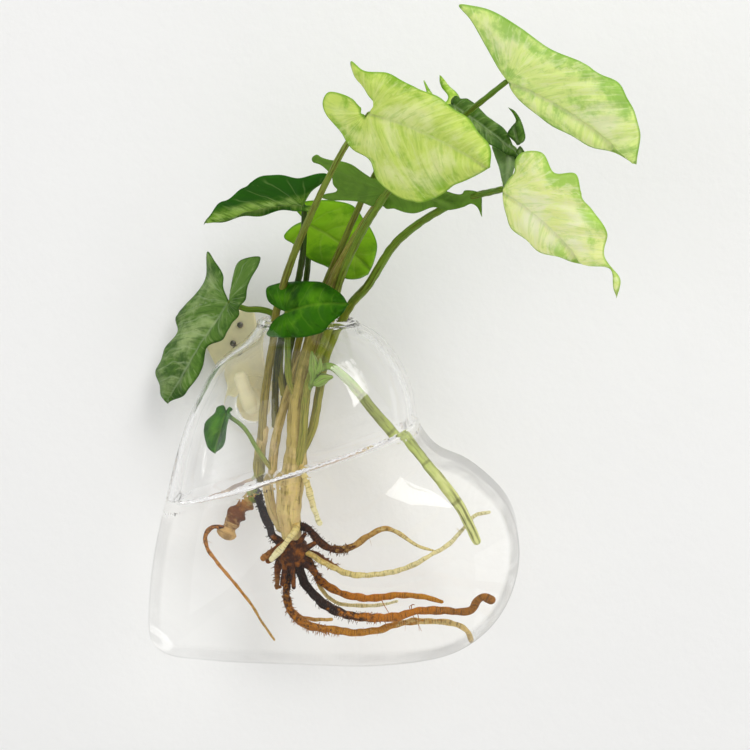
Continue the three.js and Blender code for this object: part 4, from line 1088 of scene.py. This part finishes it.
# Materials
class Nodes:
    """A node tree under construction, with short ways to add its nodes."""

    def __init__(self, tree):
        self.tree = tree

    def feed(self, socket, value):
        if isinstance(value, bpy.types.NodeSocket):
            self.tree.links.new(value, socket)
        elif hasattr(socket.default_value, "__len__") and len(socket.default_value) == 4:
            socket.default_value = (*value[:3], 1)
        else:
            socket.default_value = value

    def node(self, kind, inputs=None, **settings):
        node = self.tree.nodes.new(kind)
        for key, value in settings.items():
            setattr(node, key, value)
        for key, value in (inputs or {}).items():
            self.feed(node.inputs[key], value)
        return node

    def maths(self, operation, *values):
        return self.node("ShaderNodeMath", dict(enumerate(values)), operation=operation).outputs[0]

    def times(self, *values):
        return self.maths("MULTIPLY", *values)

    def plus(self, *values):
        return self.maths("ADD", *values)

    def minus(self, *values):
        return self.maths("SUBTRACT", *values)

    def from_whole(self, value):
        """How far a value is from the nearest whole number."""
        return self.maths("ABSOLUTE", self.minus(self.maths("FRACT", self.plus(value, 0.5)), 0.5))

    def ramp(self, value, low, high, start=0.0, end=1.0, steps="LINEAR"):
        """From start, where value is low or less, to end, where it is high or more."""
        return self.node("ShaderNodeMapRange", {
            "Value": value, "From Min": low, "From Max": high, "To Min": start, "To Max": end},
            interpolation_type=steps).outputs["Result"]

    def band(self, value, low, high, start=0.0, end=1.0):
        """The same as a ramp, with soft ends."""
        return self.ramp(value, low, high, start, end, "SMOOTHSTEP")

    def either(self, share, first, second):
        """The first shader, or the second where share is 1."""
        return self.node("ShaderNodeMixShader", {0: share, 1: first, 2: second}).outputs[0]


class Finish(Nodes):
    """A material under construction."""

    def __init__(self, name):
        self.material = bpy.data.materials.new(name)
        self.material.use_nodes = True
        super().__init__(self.material.node_tree)
        self.shader = self.tree.nodes["Principled BSDF"]

    def set(self, **inputs):
        for key, value in inputs.items():
            self.feed(self.shader.inputs[key.replace("_", " ")], value)

    def clear_where(self, share, colour=(1, 1, 1)):
        """Lets light straight through where share is 1."""
        clear = self.node("ShaderNodeBsdfTransparent", {"Color": colour})
        mixed = self.either(share, self.shader.outputs[0], clear.outputs[0])
        self.feed(self.tree.nodes["Material Output"].inputs["Surface"], mixed)

    def value(self, name):
        return self.node("ShaderNodeAttribute", attribute_name=name).outputs["Fac"]

    def vector(self, name):
        return self.node("ShaderNodeAttribute", attribute_name=name).outputs["Vector"]

    def place(self):
        return self.node("ShaderNodeTexCoord").outputs["Object"]

    def stretched(self, vector, scale):
        return self.node("ShaderNodeMapping", {"Vector": vector, "Scale": scale}).outputs["Vector"]

    def noise(self, where, scale, detail=3.0, roughness=0.55, distortion=0.0):
        return self.node("ShaderNodeTexNoise", {
            "Vector": where, "Scale": scale, "Detail": detail, "Roughness": roughness,
            "Distortion": distortion}).outputs["Fac"]

    def skin_noise(self, across, along, detail=4.0, roughness=0.6):
        """Noise on a stem or root, with its scale across and along the stem."""
        where = self.stretched(self.vector("grain"), (across, across, along))
        return self.noise(where, 1.0, detail, roughness)

    def mix(self, share, first, second):
        return self.node("ShaderNodeMix", {0: share, 6: first, 7: second}, data_type="RGBA").outputs[2]

    def shades(self, value, colours, steps):
        """Colours that follow each other as value goes through the steps."""
        colour = colours[0]
        for (low, high), following in zip(steps, colours[1:]):
            colour = self.mix(self.band(value, low, high), colour, following)
        return colour

    def bump(self, height, distance, strength=1.0):
        inputs = {"Height": height, "Distance": distance, "Strength": strength}
        self.set(Normal=self.node("ShaderNodeBump", inputs).outputs["Normal"])


def dimmed(colour, share):
    return tuple(c * share for c in colour)


def see_through(finish, tint, edge_tint):
    """Lets lamp light pass straight through a clear shape, a little darker towards its edges."""
    facing = finish.node("ShaderNodeLayerWeight", {"Blend": 0.35}).outputs["Facing"]
    ray = finish.node("ShaderNodeLightPath").outputs
    finish.clear_where(finish.maths("MAXIMUM", ray["Is Shadow Ray"], ray["Is Diffuse Ray"]),
                       finish.mix(finish.band(facing, 0.5, 1.0), tint, edge_tint))


def glass_finish(name, settings, refraction):
    finish = Finish(name)
    facing = finish.node("ShaderNodeLayerWeight", {"Blend": 0.5}).outputs["Facing"]
    filled, where, tint = finish.value("filled"), finish.place(), settings.tint[:]
    # Darker towards the edges; below the water, painted shade in uneven grey lines near the edges of the
    # outer skin
    uneven_shade = finish.band(finish.noise(where, 70.0, 3.0, 0.6, 0.5), 0.35, 0.6, 0.6, 1.0)
    colour = tint
    for share, shade in (
            (finish.band(facing, 0.5, 0.62), 0.98), (finish.band(facing, 0.8, 1.0), 0.92),
            (finish.times(filled, finish.times(finish.band(facing, 0.38, 0.5), uneven_shade)), 0.5),
            (finish.times(filled, finish.band(facing, 0.72, 0.86)), 0.2)):
        colour = finish.mix(share, colour, dimmed(tint, shade))
    finish.set(Base_Color=colour, Roughness=0.0, IOR=refraction, Transmission_Weight=1.0)
    finish.bump(finish.noise(where, 55.0, 1.0, 0.4), settings.waviness, 0.6)
    see_through(finish, *LIGHT_THROUGH_GLASS)
    return finish.material


def water_finish(name, settings, refraction):
    finish = Finish(name)
    finish.set(Base_Color=settings.tint[:], Roughness=0.0, IOR=refraction, Transmission_Weight=1.0)
    finish.bump(finish.noise(finish.place(), 90.0, 1.0, 0.4), RIPPLES, 0.4)
    see_through(finish, *LIGHT_THROUGH_WATER)
    return finish.material


def mottled(name, first, second, grain, steps, rough, **inputs):
    """A finish that goes from one colour to another with a noise, and that noise."""
    finish = Finish(name)
    cloud = finish.noise(finish.place(), *grain)
    finish.set(Base_Color=finish.mix(finish.band(cloud, *steps), first, second),
               Roughness=finish.band(cloud, 0.3, 0.7, *rough), **inputs)
    return finish, cloud


def hook_finish(settings):
    finish, _ = mottled("moulded_hook", settings.body[:], dimmed(settings.body, 0.86), (120.0, 3.0),
                        (0.35, 0.7), (0.36, 0.5), Subsurface_Weight=0.15,
                        Subsurface_Radius=(0.004, 0.003, 0.002), Subsurface_Scale=0.3)
    finish.bump(finish.noise(finish.place(), 4200.0, 2.0), 0.00006, 0.5)
    return finish.material


def pin_finish(settings):
    finish, dull = mottled("pin_steel", settings.steel[:], dimmed(settings.steel, 0.5), (1800.0, 3.0),
                           (0.4, 0.75), (0.25, 0.5), Metallic=1.0)
    finish.bump(dull, 0.00004, 0.5)
    return finish.material


def crown_finish(settings):
    finish, lumps = mottled("root_crown_bark", settings.brown[:], linear("8a5016"), (380.0, 5.0, 0.65),
                            (0.42, 0.68), (0.45, 0.7), Specular_IOR_Level=0.08)
    finish.bump(lumps, 0.0014, 1.0)
    return finish.material


# Main colour, patches, pale middle, veins, margin and underside, and how strongly the veins show
LEAF_SHADES = {
    "lime": ("lime", "patch", "pale", "dbe79c", "6a9d24", "a8c468", 0.45),
    "pale": ("f0fba4", "b4d866", "fbffd4", "f2f8cc", "86b044", "c0d48c", 0.45),
    "fresh": ("e4f698", "a6cc62", "f2fac4", "eef6bc", "6f9f38", "bcd280", 0.45),
    # The backlit leaf: its yellow-green is partly the leaf's own colour and partly painted glow of the
    # light shining through it
    "leafgreen": ("80b01c", "5a8c14", "98be34", "a6c454", "44760f", "86a83c", 0.35),
    "deep": ("green", "shade", "64a012", "8cb83a", "1d4a05", "5d8838", 0.22),
    "grey": ("5c7e34", "3c5c24", "98ac70", "silver", "2a4a18", "8a9f74", 0.36),
    "leafy": ("68962c", "34601a", "7fa23c", "9cbc66", "2a5210", "6f8f3a", 0.25),
    "split": ("8aae42", "35660f", "bcd67c", "b4ca7c", "1f4a10", "809c60", 0.3),
}


def leaf_finish(kind, settings):
    """Pale ribs and veins, patches of a second green, a darker margin and a dull underside."""
    *shades, vein_strength = LEAF_SHADES[kind]
    main, second, middle, vein, margin, under = (
        getattr(settings, shade)[:] if hasattr(settings, shade) else linear(shade) for shade in shades)
    young = kind in ("lime", "pale", "fresh")
    finish = Finish("leaf_" + kind)
    where = finish.place()
    edge, rib, aside, phase, lower = map(
        finish.value, ("edge_gap", "rib_gap", "aside", "vein_phase", "underside"))
    centre = finish.band(edge, 1.0, 7.5)
    cloud = finish.noise(where, 75.0, 4.0, 0.6, 0.6)
    speck = finish.noise(where, 420.0, 5.0, 0.65)
    patchy = finish.plus(finish.times(cloud, 0.72), finish.times(speck, 0.28))
    if young:
        patchy = finish.minus(patchy, finish.times(centre, 0.1))
    patchy = finish.plus(patchy, finish.band(aside, -18.0, -7.0, 0.07, 0.0))
    colour = finish.mix(finish.band(patchy, 0.46, 0.62), main, second)
    light = finish.noise(finish.stretched(where, (1, 1, 1.3)), 60.0, 5.0, 0.62, 0.4)
    colour = finish.mix(finish.times(finish.band(light, 0.42, 0.62), centre), colour, middle)
    if kind not in ("deep", "leafgreen"):
        along_veins = finish.node("ShaderNodeCombineXYZ", {
            "X": finish.times(phase, 5.0), "Y": finish.times(rib, 0.12), "Z": finish.times(aside, 0.12)})
        streak = finish.noise(along_veins.outputs[0], 1.0, 4.0, 0.6, 0.4)
        colour = finish.mix(finish.band(streak, 0.5, 0.66, 0.0, 0.35 if young else 0.55), colour, second)
        colour = finish.mix(finish.band(streak, 0.36, 0.48, 0.4, 0.0), colour, middle)
    if kind == "split":
        colour = finish.mix(finish.band(aside, 3.0, 7.0), colour, linear("2a5c12"))
    drift = finish.band(finish.noise(where, 95.0, 2.0), 0.2, 0.8, -0.22, 0.22)
    from_vein = finish.from_whole(finish.plus(phase, drift))
    side_vein = finish.times(finish.band(from_vein, 0.0, 0.1, 1.0, 0.0), finish.band(edge, 0.3, 3.0))
    veins = finish.maths("MAXIMUM", finish.times(side_vein, 0.6), finish.band(rib, 0.15, 0.8, 1.0, 0.0))
    colour = finish.mix(finish.times(veins, vein_strength), colour, vein)
    colour = finish.mix(finish.band(edge, 0.1, 0.8, 0.75, 0.0), colour, margin)
    colour = finish.mix(finish.times(lower, 0.6), colour, under)
    rough = finish.plus(finish.band(speck, 0.3, 0.7, 0.34, 0.5), finish.times(lower, 0.15))
    finish.set(Base_Color=colour, Roughness=rough, Specular_IOR_Level=0.07, Subsurface_Weight=0.22,
               Subsurface_Radius=(0.0016, 0.0024, 0.0006), Subsurface_Scale=0.6)
    cells = finish.times(finish.noise(where, 2600.0, 2.0, 0.6), 0.35)
    finish.bump(finish.minus(cells, finish.times(veins, 0.3 if young else 0.9)), 0.00014, 0.8)
    return finish.material


STEM_SHADES = {
    "tan": ("d2bd80", "b8a45a", "8d8638", "7c8e30"), "olive": ("a1904a", "8b8232", "74822c", "7f9836"),
    # The green stalks darken towards their tops, partly in their own colour and partly as painted shade
    # where they are lit from behind
    "green": ("9d9444", "86902e", "6c8c26", "5b8224"), "dark": ("77702c", "545f22", "3c5219", "2d4a12"),
    "shoot": ("86a845", "a0a866", "b3bf66", "d6d892"),
}


def stem_finish(kind, settings):
    finish = Finish("stem_" + kind)
    rise = finish.value("rise")
    shades = [linear(shade) for shade in STEM_SHADES[kind]]
    streak, blotch, fine = (
        finish.skin_noise(*scale) for scale in ((2.2, 0.09), (0.8, 0.35), (5.5, 0.16)))
    shifted = finish.plus(rise, finish.band(blotch, 0.3, 0.7, -0.07, 0.07))
    colour = finish.shades(shifted, shades, ((0.1, 0.25), (0.28, 0.5), (0.55, 0.9)))
    dark = tuple(c * share for c, share in zip(shades[1], (0.36, 0.34, 0.26)))
    colour = finish.mix(finish.band(streak, 0.46, 0.64, 0.0, 0.85), colour, dark)
    light = tuple(min(1, c * 1.5) for c in shades[1])
    colour = finish.mix(finish.band(fine, 0.5, 0.68, 0.0, 0.5), colour, light)
    if kind == "shoot":
        turn = finish.plus(finish.times(rise, 5.0), -0.15)
        scar = finish.band(finish.from_whole(turn), 0.02, 0.05, 0.45, 0.0)
        colour = finish.mix(scar, colour, linear("4d4a1c"))
    if kind == "tan":
        old = finish.band(rise, 0.04, 0.3, 1.0, 0.0)
        scars = finish.times(finish.band(finish.skin_noise(1.95, 1.56, 5.0, 0.7), 0.6, 0.68), old)
        colour = finish.mix(finish.times(scars, 0.85), colour, linear("4a2d17"))
        cream = finish.times(finish.band(blotch, 0.35, 0.6, 0.8, 0.0), old)
        colour = finish.mix(cream, colour, settings.tan[:])
    finish.set(Base_Color=colour, Roughness=finish.band(streak, 0.3, 0.7, 0.36, 0.55),
               Specular_IOR_Level=0.14, Subsurface_Weight=0.12,
               Subsurface_Radius=(0.0015, 0.0018, 0.0006), Subsurface_Scale=0.8)
    finish.bump(finish.plus(streak, finish.times(fine, 0.6)), 0.0003, 0.8)
    return finish.material


ROOT_SHADES = {
    "straw": ("c2a255", "d8c47d", "e2d398", "e8dfae"), "cream": ("b99a58", "a06a2c", "6e3c14", "c9a468"),
    "amber": ("8a4c12", "b8782a", "c8893a", "d3a95c"), "orange": ("5c2c08", "a86404", "c07406", "b87c18"),
    "brown": ("33190a", "4c2810", "7a451a", "a06c34"), "black": ("2a170c", "190d07", "26140a", "3c2010"),
    "brown_to_straw": ("3a1c0a", "5a3114", "b48c48", "dccb8c"),
    "black_to_orange": ("1f0f07", "2c1508", "b46c06", "94601c"),
    "brown_to_orange": ("3c1e0a", "aa6804", "bd7f1a", "dcc07c"),
}


def root_finish(kind):
    finish = Finish("root_" + kind)
    rise = finish.value("rise")
    shades = [linear(shade) for shade in ROOT_SHADES[kind]]
    blotch, rings = finish.skin_noise(0.9, 0.45, 5.0, 0.65), finish.skin_noise(0.4, 2.6, 3.0)
    shifted = finish.plus(rise, finish.band(blotch, 0.3, 0.7, -0.14, 0.14))
    colour = finish.shades(shifted, shades, ((0.05, 0.22), (0.3, 0.48), (0.62, 0.85)))
    colour = finish.mix(finish.band(rings, 0.5, 0.64, 0.0, 0.55), colour, dimmed(shades[1], 0.28))
    if kind not in ("straw", "cream"):
        dirt = finish.minus(finish.skin_noise(1.6, 1.3, 5.0, 0.7), finish.band(rise, 0.1, 0.7, 0.0, 0.17))
        colour = finish.mix(finish.band(dirt, 0.48, 0.54, 0.0, 0.9), colour, linear("1d0f07"))
    finish.set(Base_Color=colour, Roughness=finish.band(rings, 0.3, 0.7, 0.4, 0.62),
               Specular_IOR_Level=0.08, Subsurface_Weight=0.04,
               Subsurface_Radius=(0.001, 0.0008, 0.0004), Subsurface_Scale=0.5)
    finish.bump(finish.plus(rings, finish.times(blotch, 0.8)), 0.0005, 0.9)
    return finish.material


def wall_finish(settings):
    """Matt paint with a faint roller texture, see-through from behind and for what touches it."""
    finish = Finish("painted_wall")
    where, paint = finish.place(), settings.wall[:]
    roller = finish.noise(where, 260.0, 5.0, 0.6)
    trowel = finish.noise(where, 14.0, 4.0, 0.55)
    colour = finish.mix(finish.band(trowel, 0.35, 0.7, 0.0, 0.35), paint, dimmed(paint, 0.975))
    finish.set(Base_Color=colour, Roughness=0.85)
    finish.bump(finish.plus(finish.times(roller, 0.25), trowel), 0.0022, 0.35)
    length = finish.node("ShaderNodeLightPath").outputs["Ray Length"]
    behind = finish.node("ShaderNodeNewGeometry").outputs["Backfacing"]
    finish.clear_where(finish.maths("MAXIMUM", behind, finish.maths("LESS_THAN", length, WALL_TOUCH)))
    return finish.material


def floor_finish(settings):
    finish = Finish("pale_floor")
    cloud = finish.noise(finish.place(), 9.0, 4.0)
    paint = settings.wall[:]
    colour = finish.mix(finish.band(cloud, 0.35, 0.7, 0.0, 0.5), paint, dimmed(paint, 0.97))
    finish.set(Base_Color=colour, Roughness=0.7)
    return finish.material


# Operators
class VASE_OT_glass(bpy.types.Operator):
    """Blow the glass body, with its lip and the rolled edge of its hanging hole"""

    bl_idname = "vase.glass"
    bl_label = "Glass"

    def execute(self, context):
        settings = context.scene.wall_vase
        mesh = hung_skin("glass_vase_shape", glass_gap, *GLASS_REACH, GLASS_CELL,
                         {"wet": lambda points: wet_glass(points, settings.water),
                          "filled": lambda points: painted_glass_shade(points, settings.water)})
        wet_faces(mesh)
        clear = settings.glass.refraction
        add_piece("glass_vase", mesh, glass_finish("clear_glass", settings.glass, clear),
                  glass_finish("glass_under_water", settings.glass, clear / settings.water.refraction))
        return {"FINISHED"}


class VASE_OT_water(bpy.types.Operator):
    """Fill the vase with water, level as it hangs, climbing a little at the glass"""

    bl_idname = "vase.water"
    bl_label = "Water"

    def execute(self, context):
        settings = context.scene.wall_vase.water
        low, high = GLASS_REACH
        mesh = hung_skin("water_shape", lambda points: water_gap(points, settings),
                         low, (*high[:2], WATER_TOP), WATER_CELL,
                         {"wet": lambda points: wet_side(points, settings)})
        wet_faces(mesh)
        add_piece("water", mesh, water_finish("clear_water", settings, settings.refraction),
                  water_finish("water_at_glass", settings, UNBENT))
        return {"FINISHED"}


class VASE_OT_hook(bpy.types.Operator):
    """Mould the wall hook with its plate, peg and upturned tongue, and turn its pins"""

    bl_idname = "vase.hook"
    bl_label = "Hook and pins"

    def execute(self, context):
        settings = context.scene.wall_vase.hook
        points, quads, normals = skin(hook_gap, *HOOK_REACH, HOOK_CELL)
        mesh = make_mesh("wall_hook_shape", points * MM, quads.tolist(), normals=normals)
        add_piece("wall_hook", mesh, hook_finish(settings))
        steel = pin_finish(settings)
        for k, (x, z) in enumerate(PIN_PLACES, 1):
            add_piece(f"wall_pin_{k}", pin_mesh(f"wall_pin_{k}_shape", x, z), steel)
        return {"FINISHED"}


class VASE_OT_leaves(bpy.types.Operator):
    """Grow the leaf blades"""

    bl_idname = "vase.leaves"
    bl_label = "Leaves"

    def execute(self, context):
        settings = context.scene.wall_vase.leaf
        finishes = {kind: leaf_finish(kind, settings) for kind in LEAF_SHADES}
        for name, leaf in LEAVES.items():
            add_piece(name, leaf_mesh(name + "_shape", leaf, settings), finishes[leaf["finish"]])
        return {"FINISHED"}


class VASE_OT_stems(bpy.types.Operator):
    """Grow the stems, the leaf stalks and the shoot that leans in the vase"""

    bl_idname = "vase.stems"
    bl_label = "Stems and stalks"

    def execute(self, context):
        settings = context.scene.wall_vase.stem
        finishes = {kind: stem_finish(kind, settings) for kind in STEM_SHADES}
        for name, (route, radii, kind) in STEMS.items():
            add_piece(name, stem_mesh(name + "_shape", route, radii), finishes[kind])
        add_piece("shoot_bud", bud_mesh("shoot_bud_shape"), finishes["shoot"])
        return {"FINISHED"}


class VASE_OT_roots(bpy.types.Operator):
    """Grow the crown and the roots with their rootlets"""

    bl_idname = "vase.roots"
    bl_label = "Crown and roots"

    def execute(self, context):
        settings = context.scene.wall_vase.root
        reach = np.array(CROWN_RADII) + CROWN_ROOM
        low, high = CROWN_MIDDLE - reach, CROWN_MIDDLE + reach
        crown = hung_skin("root_crown_shape", crown_gap, low, high, CROWN_CELL)
        add_piece("root_crown", crown, crown_finish(settings))
        finishes = {kind: root_finish(kind) for kind in ROOT_SHADES}
        for name, (route, radii, kind) in ROOTS.items():
            add_piece(name, root_mesh(name, route, radii, kind, settings), finishes[kind])
        return {"FINISHED"}


CAMERA_PLACE = (0.11103, -0.67210, 0.07293)
CAMERA_AHEAD = (-0.09792, 0.98816, -0.11811)
CAMERA_UP = (0.30644, 0.14285, 0.94110)
CAMERA_LENS = 91.1
WALL_HALF_WIDTH = 1.6
WALL_TOP = 1.6
WALL_BACK = 0.0003
FLOOR_HEIGHT = -1.3
FLOOR_FRONT = -2.4
WALL_TOUCH = 0.001
LIT_PLACE = (0.03, -0.03, 0.0)
FILL_SHARE = 0.35
LIGHT_TURNS = 32
MIRROR_TURNS = 16


def plane(name, one, other, material):
    """A flat stage piece between two (out, up) ends, as wide as the wall."""
    mesh = bpy.data.meshes.new(name)
    w = WALL_HALF_WIDTH
    mesh.from_pydata([(-w, *one), (w, *one), (w, *other), (-w, *other)], [], [(0, 1, 2, 3)])
    mesh.materials.append(material)
    link_object(name, mesh)


def soft_lamp(name, place, size, power, colour):
    lamp = bpy.data.lights.new(name, "AREA")
    lamp.shape = "RECTANGLE"
    lamp.size, lamp.size_y = size
    lamp.energy, lamp.color = power, colour
    thing = link_object(name, lamp)
    thing.location = place
    thing.rotation_euler = (Vector(LIT_PLACE) - Vector(place)).to_track_quat("-Z", "Y").to_euler()


def soft_room(context, settings):
    """Even light from all round, and a paler room for the camera and for what the glass shows of it."""
    world = bpy.data.worlds.new("soft_room")
    context.scene.world = world
    world.use_nodes = True
    sky = Nodes(world.node_tree)
    away = sky.node("ShaderNodeTexCoord").outputs["Generated"]
    away = sky.node("ShaderNodeSeparateXYZ", {0: away}).outputs
    ray = sky.node("ShaderNodeLightPath").outputs
    light = sky.tree.nodes["Background"]
    sky.feed(light.inputs["Color"], sky.ramp(away["Z"], -1.0, 0.6, 0.85, 1.15))
    sky.feed(light.inputs["Strength"], settings.room)
    mirrored = sky.ramp(ray["Is Glossy Ray"], 0.0, 1.0, 1.0, settings.mirrored_room)
    pale = sky.times(sky.ramp(away["Y"], -1.0, 0.3, 0.84, 0.95), mirrored)
    seen = sky.maths("MAXIMUM", sky.maths("MAXIMUM", ray["Is Camera Ray"], ray["Is Glossy Ray"]),
                     ray["Is Transmission Ray"])
    room = sky.node("ShaderNodeBackground", {"Color": pale})
    sky.feed(sky.tree.nodes["World Output"].inputs["Surface"],
             sky.either(seen, light.outputs[0], room.outputs[0]))


class VASE_OT_stage(bpy.types.Operator):
    """Set up the wall, the floor, the light and the camera"""

    bl_idname = "vase.stage"
    bl_label = "Stage"

    def execute(self, context):
        settings = context.scene.wall_vase.stage
        foot = (WALL_BACK, FLOOR_HEIGHT)
        plane("stage_wall", foot, (WALL_BACK, WALL_TOP), wall_finish(settings))
        plane("stage_floor", (FLOOR_FRONT, FLOOR_HEIGHT), foot, floor_finish(settings))
        soft_lamp("window_light", place=(0.95, -1.0, 0.75), size=(0.7, 0.9),
                  power=settings.window, colour=(1, 0.99, 0.975))
        soft_lamp("fill_light", place=(-0.9, -1.3, 0.35), size=(1.2, 1.2),
                  power=settings.window * FILL_SHARE, colour=(0.97, 0.98, 1))
        soft_room(context, settings)
        lens = bpy.data.cameras.new("photo_camera")
        lens.lens, lens.sensor_width = CAMERA_LENS, 36
        lens.clip_start, lens.clip_end = 0.01, 20
        camera = link_object("photo_camera", lens)
        ahead, up = Vector(CAMERA_AHEAD).normalized(), Vector(CAMERA_UP)
        right = ahead.cross(up).normalized()
        turned = Matrix((right, right.cross(ahead), -ahead)).transposed().to_4x4()
        camera.matrix_world = Matrix.Translation(CAMERA_PLACE) @ turned
        context.scene.camera = camera
        context.scene.view_settings.view_transform = "Standard"
        # Light crosses three skins on each side of the water, and is mirrored inside at steep angles
        paths = context.scene.cycles
        paths.max_bounces = paths.transmission_bounces = paths.transparent_max_bounces = LIGHT_TURNS
        paths.glossy_bounces = MIRROR_TURNS
        return {"FINISHED"}


class VASE_PT_panel(bpy.types.Panel):
    """Steps and settings of the wall vase"""

    bl_idname = "VASE_PT_panel"
    bl_label = "Wall vase"
    bl_space_type = "VIEW_3D"
    bl_region_type = "UI"
    bl_category = "Vase"

    def draw(self, context):
        settings = context.scene.wall_vase
        for operator, group in STEPS:
            box = self.layout.box()
            box.operator(operator.bl_idname)
            for key in getattr(settings, group).__annotations__:
                box.prop(getattr(settings, group), key)


STEPS = (
    (VASE_OT_stage, "stage"),
    (VASE_OT_hook, "hook"),
    (VASE_OT_glass, "glass"),
    (VASE_OT_water, "water"),
    (VASE_OT_leaves, "leaf"),
    (VASE_OT_stems, "stem"),
    (VASE_OT_roots, "root"),
)
CLASSES = (
    GlassSettings, WaterSettings, HookSettings, LeafSettings, StemSettings, RootSettings,
    StageSettings, VaseSettings, *(operator for operator, _ in STEPS), VASE_PT_panel,
)


def register():
    for kind in CLASSES:
        bpy.utils.register_class(kind)
    bpy.types.Scene.wall_vase = bpy.props.PointerProperty(type=VaseSettings)


def unregister():
    del bpy.types.Scene.wall_vase
    for kind in reversed(CLASSES):
        bpy.utils.unregister_class(kind)


def main():
    register()
    for operator, _ in STEPS:
        group, name = operator.bl_idname.split(".")
        getattr(getattr(bpy.ops, group), name)()
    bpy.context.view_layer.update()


if __name__ == "__main__":
    main()
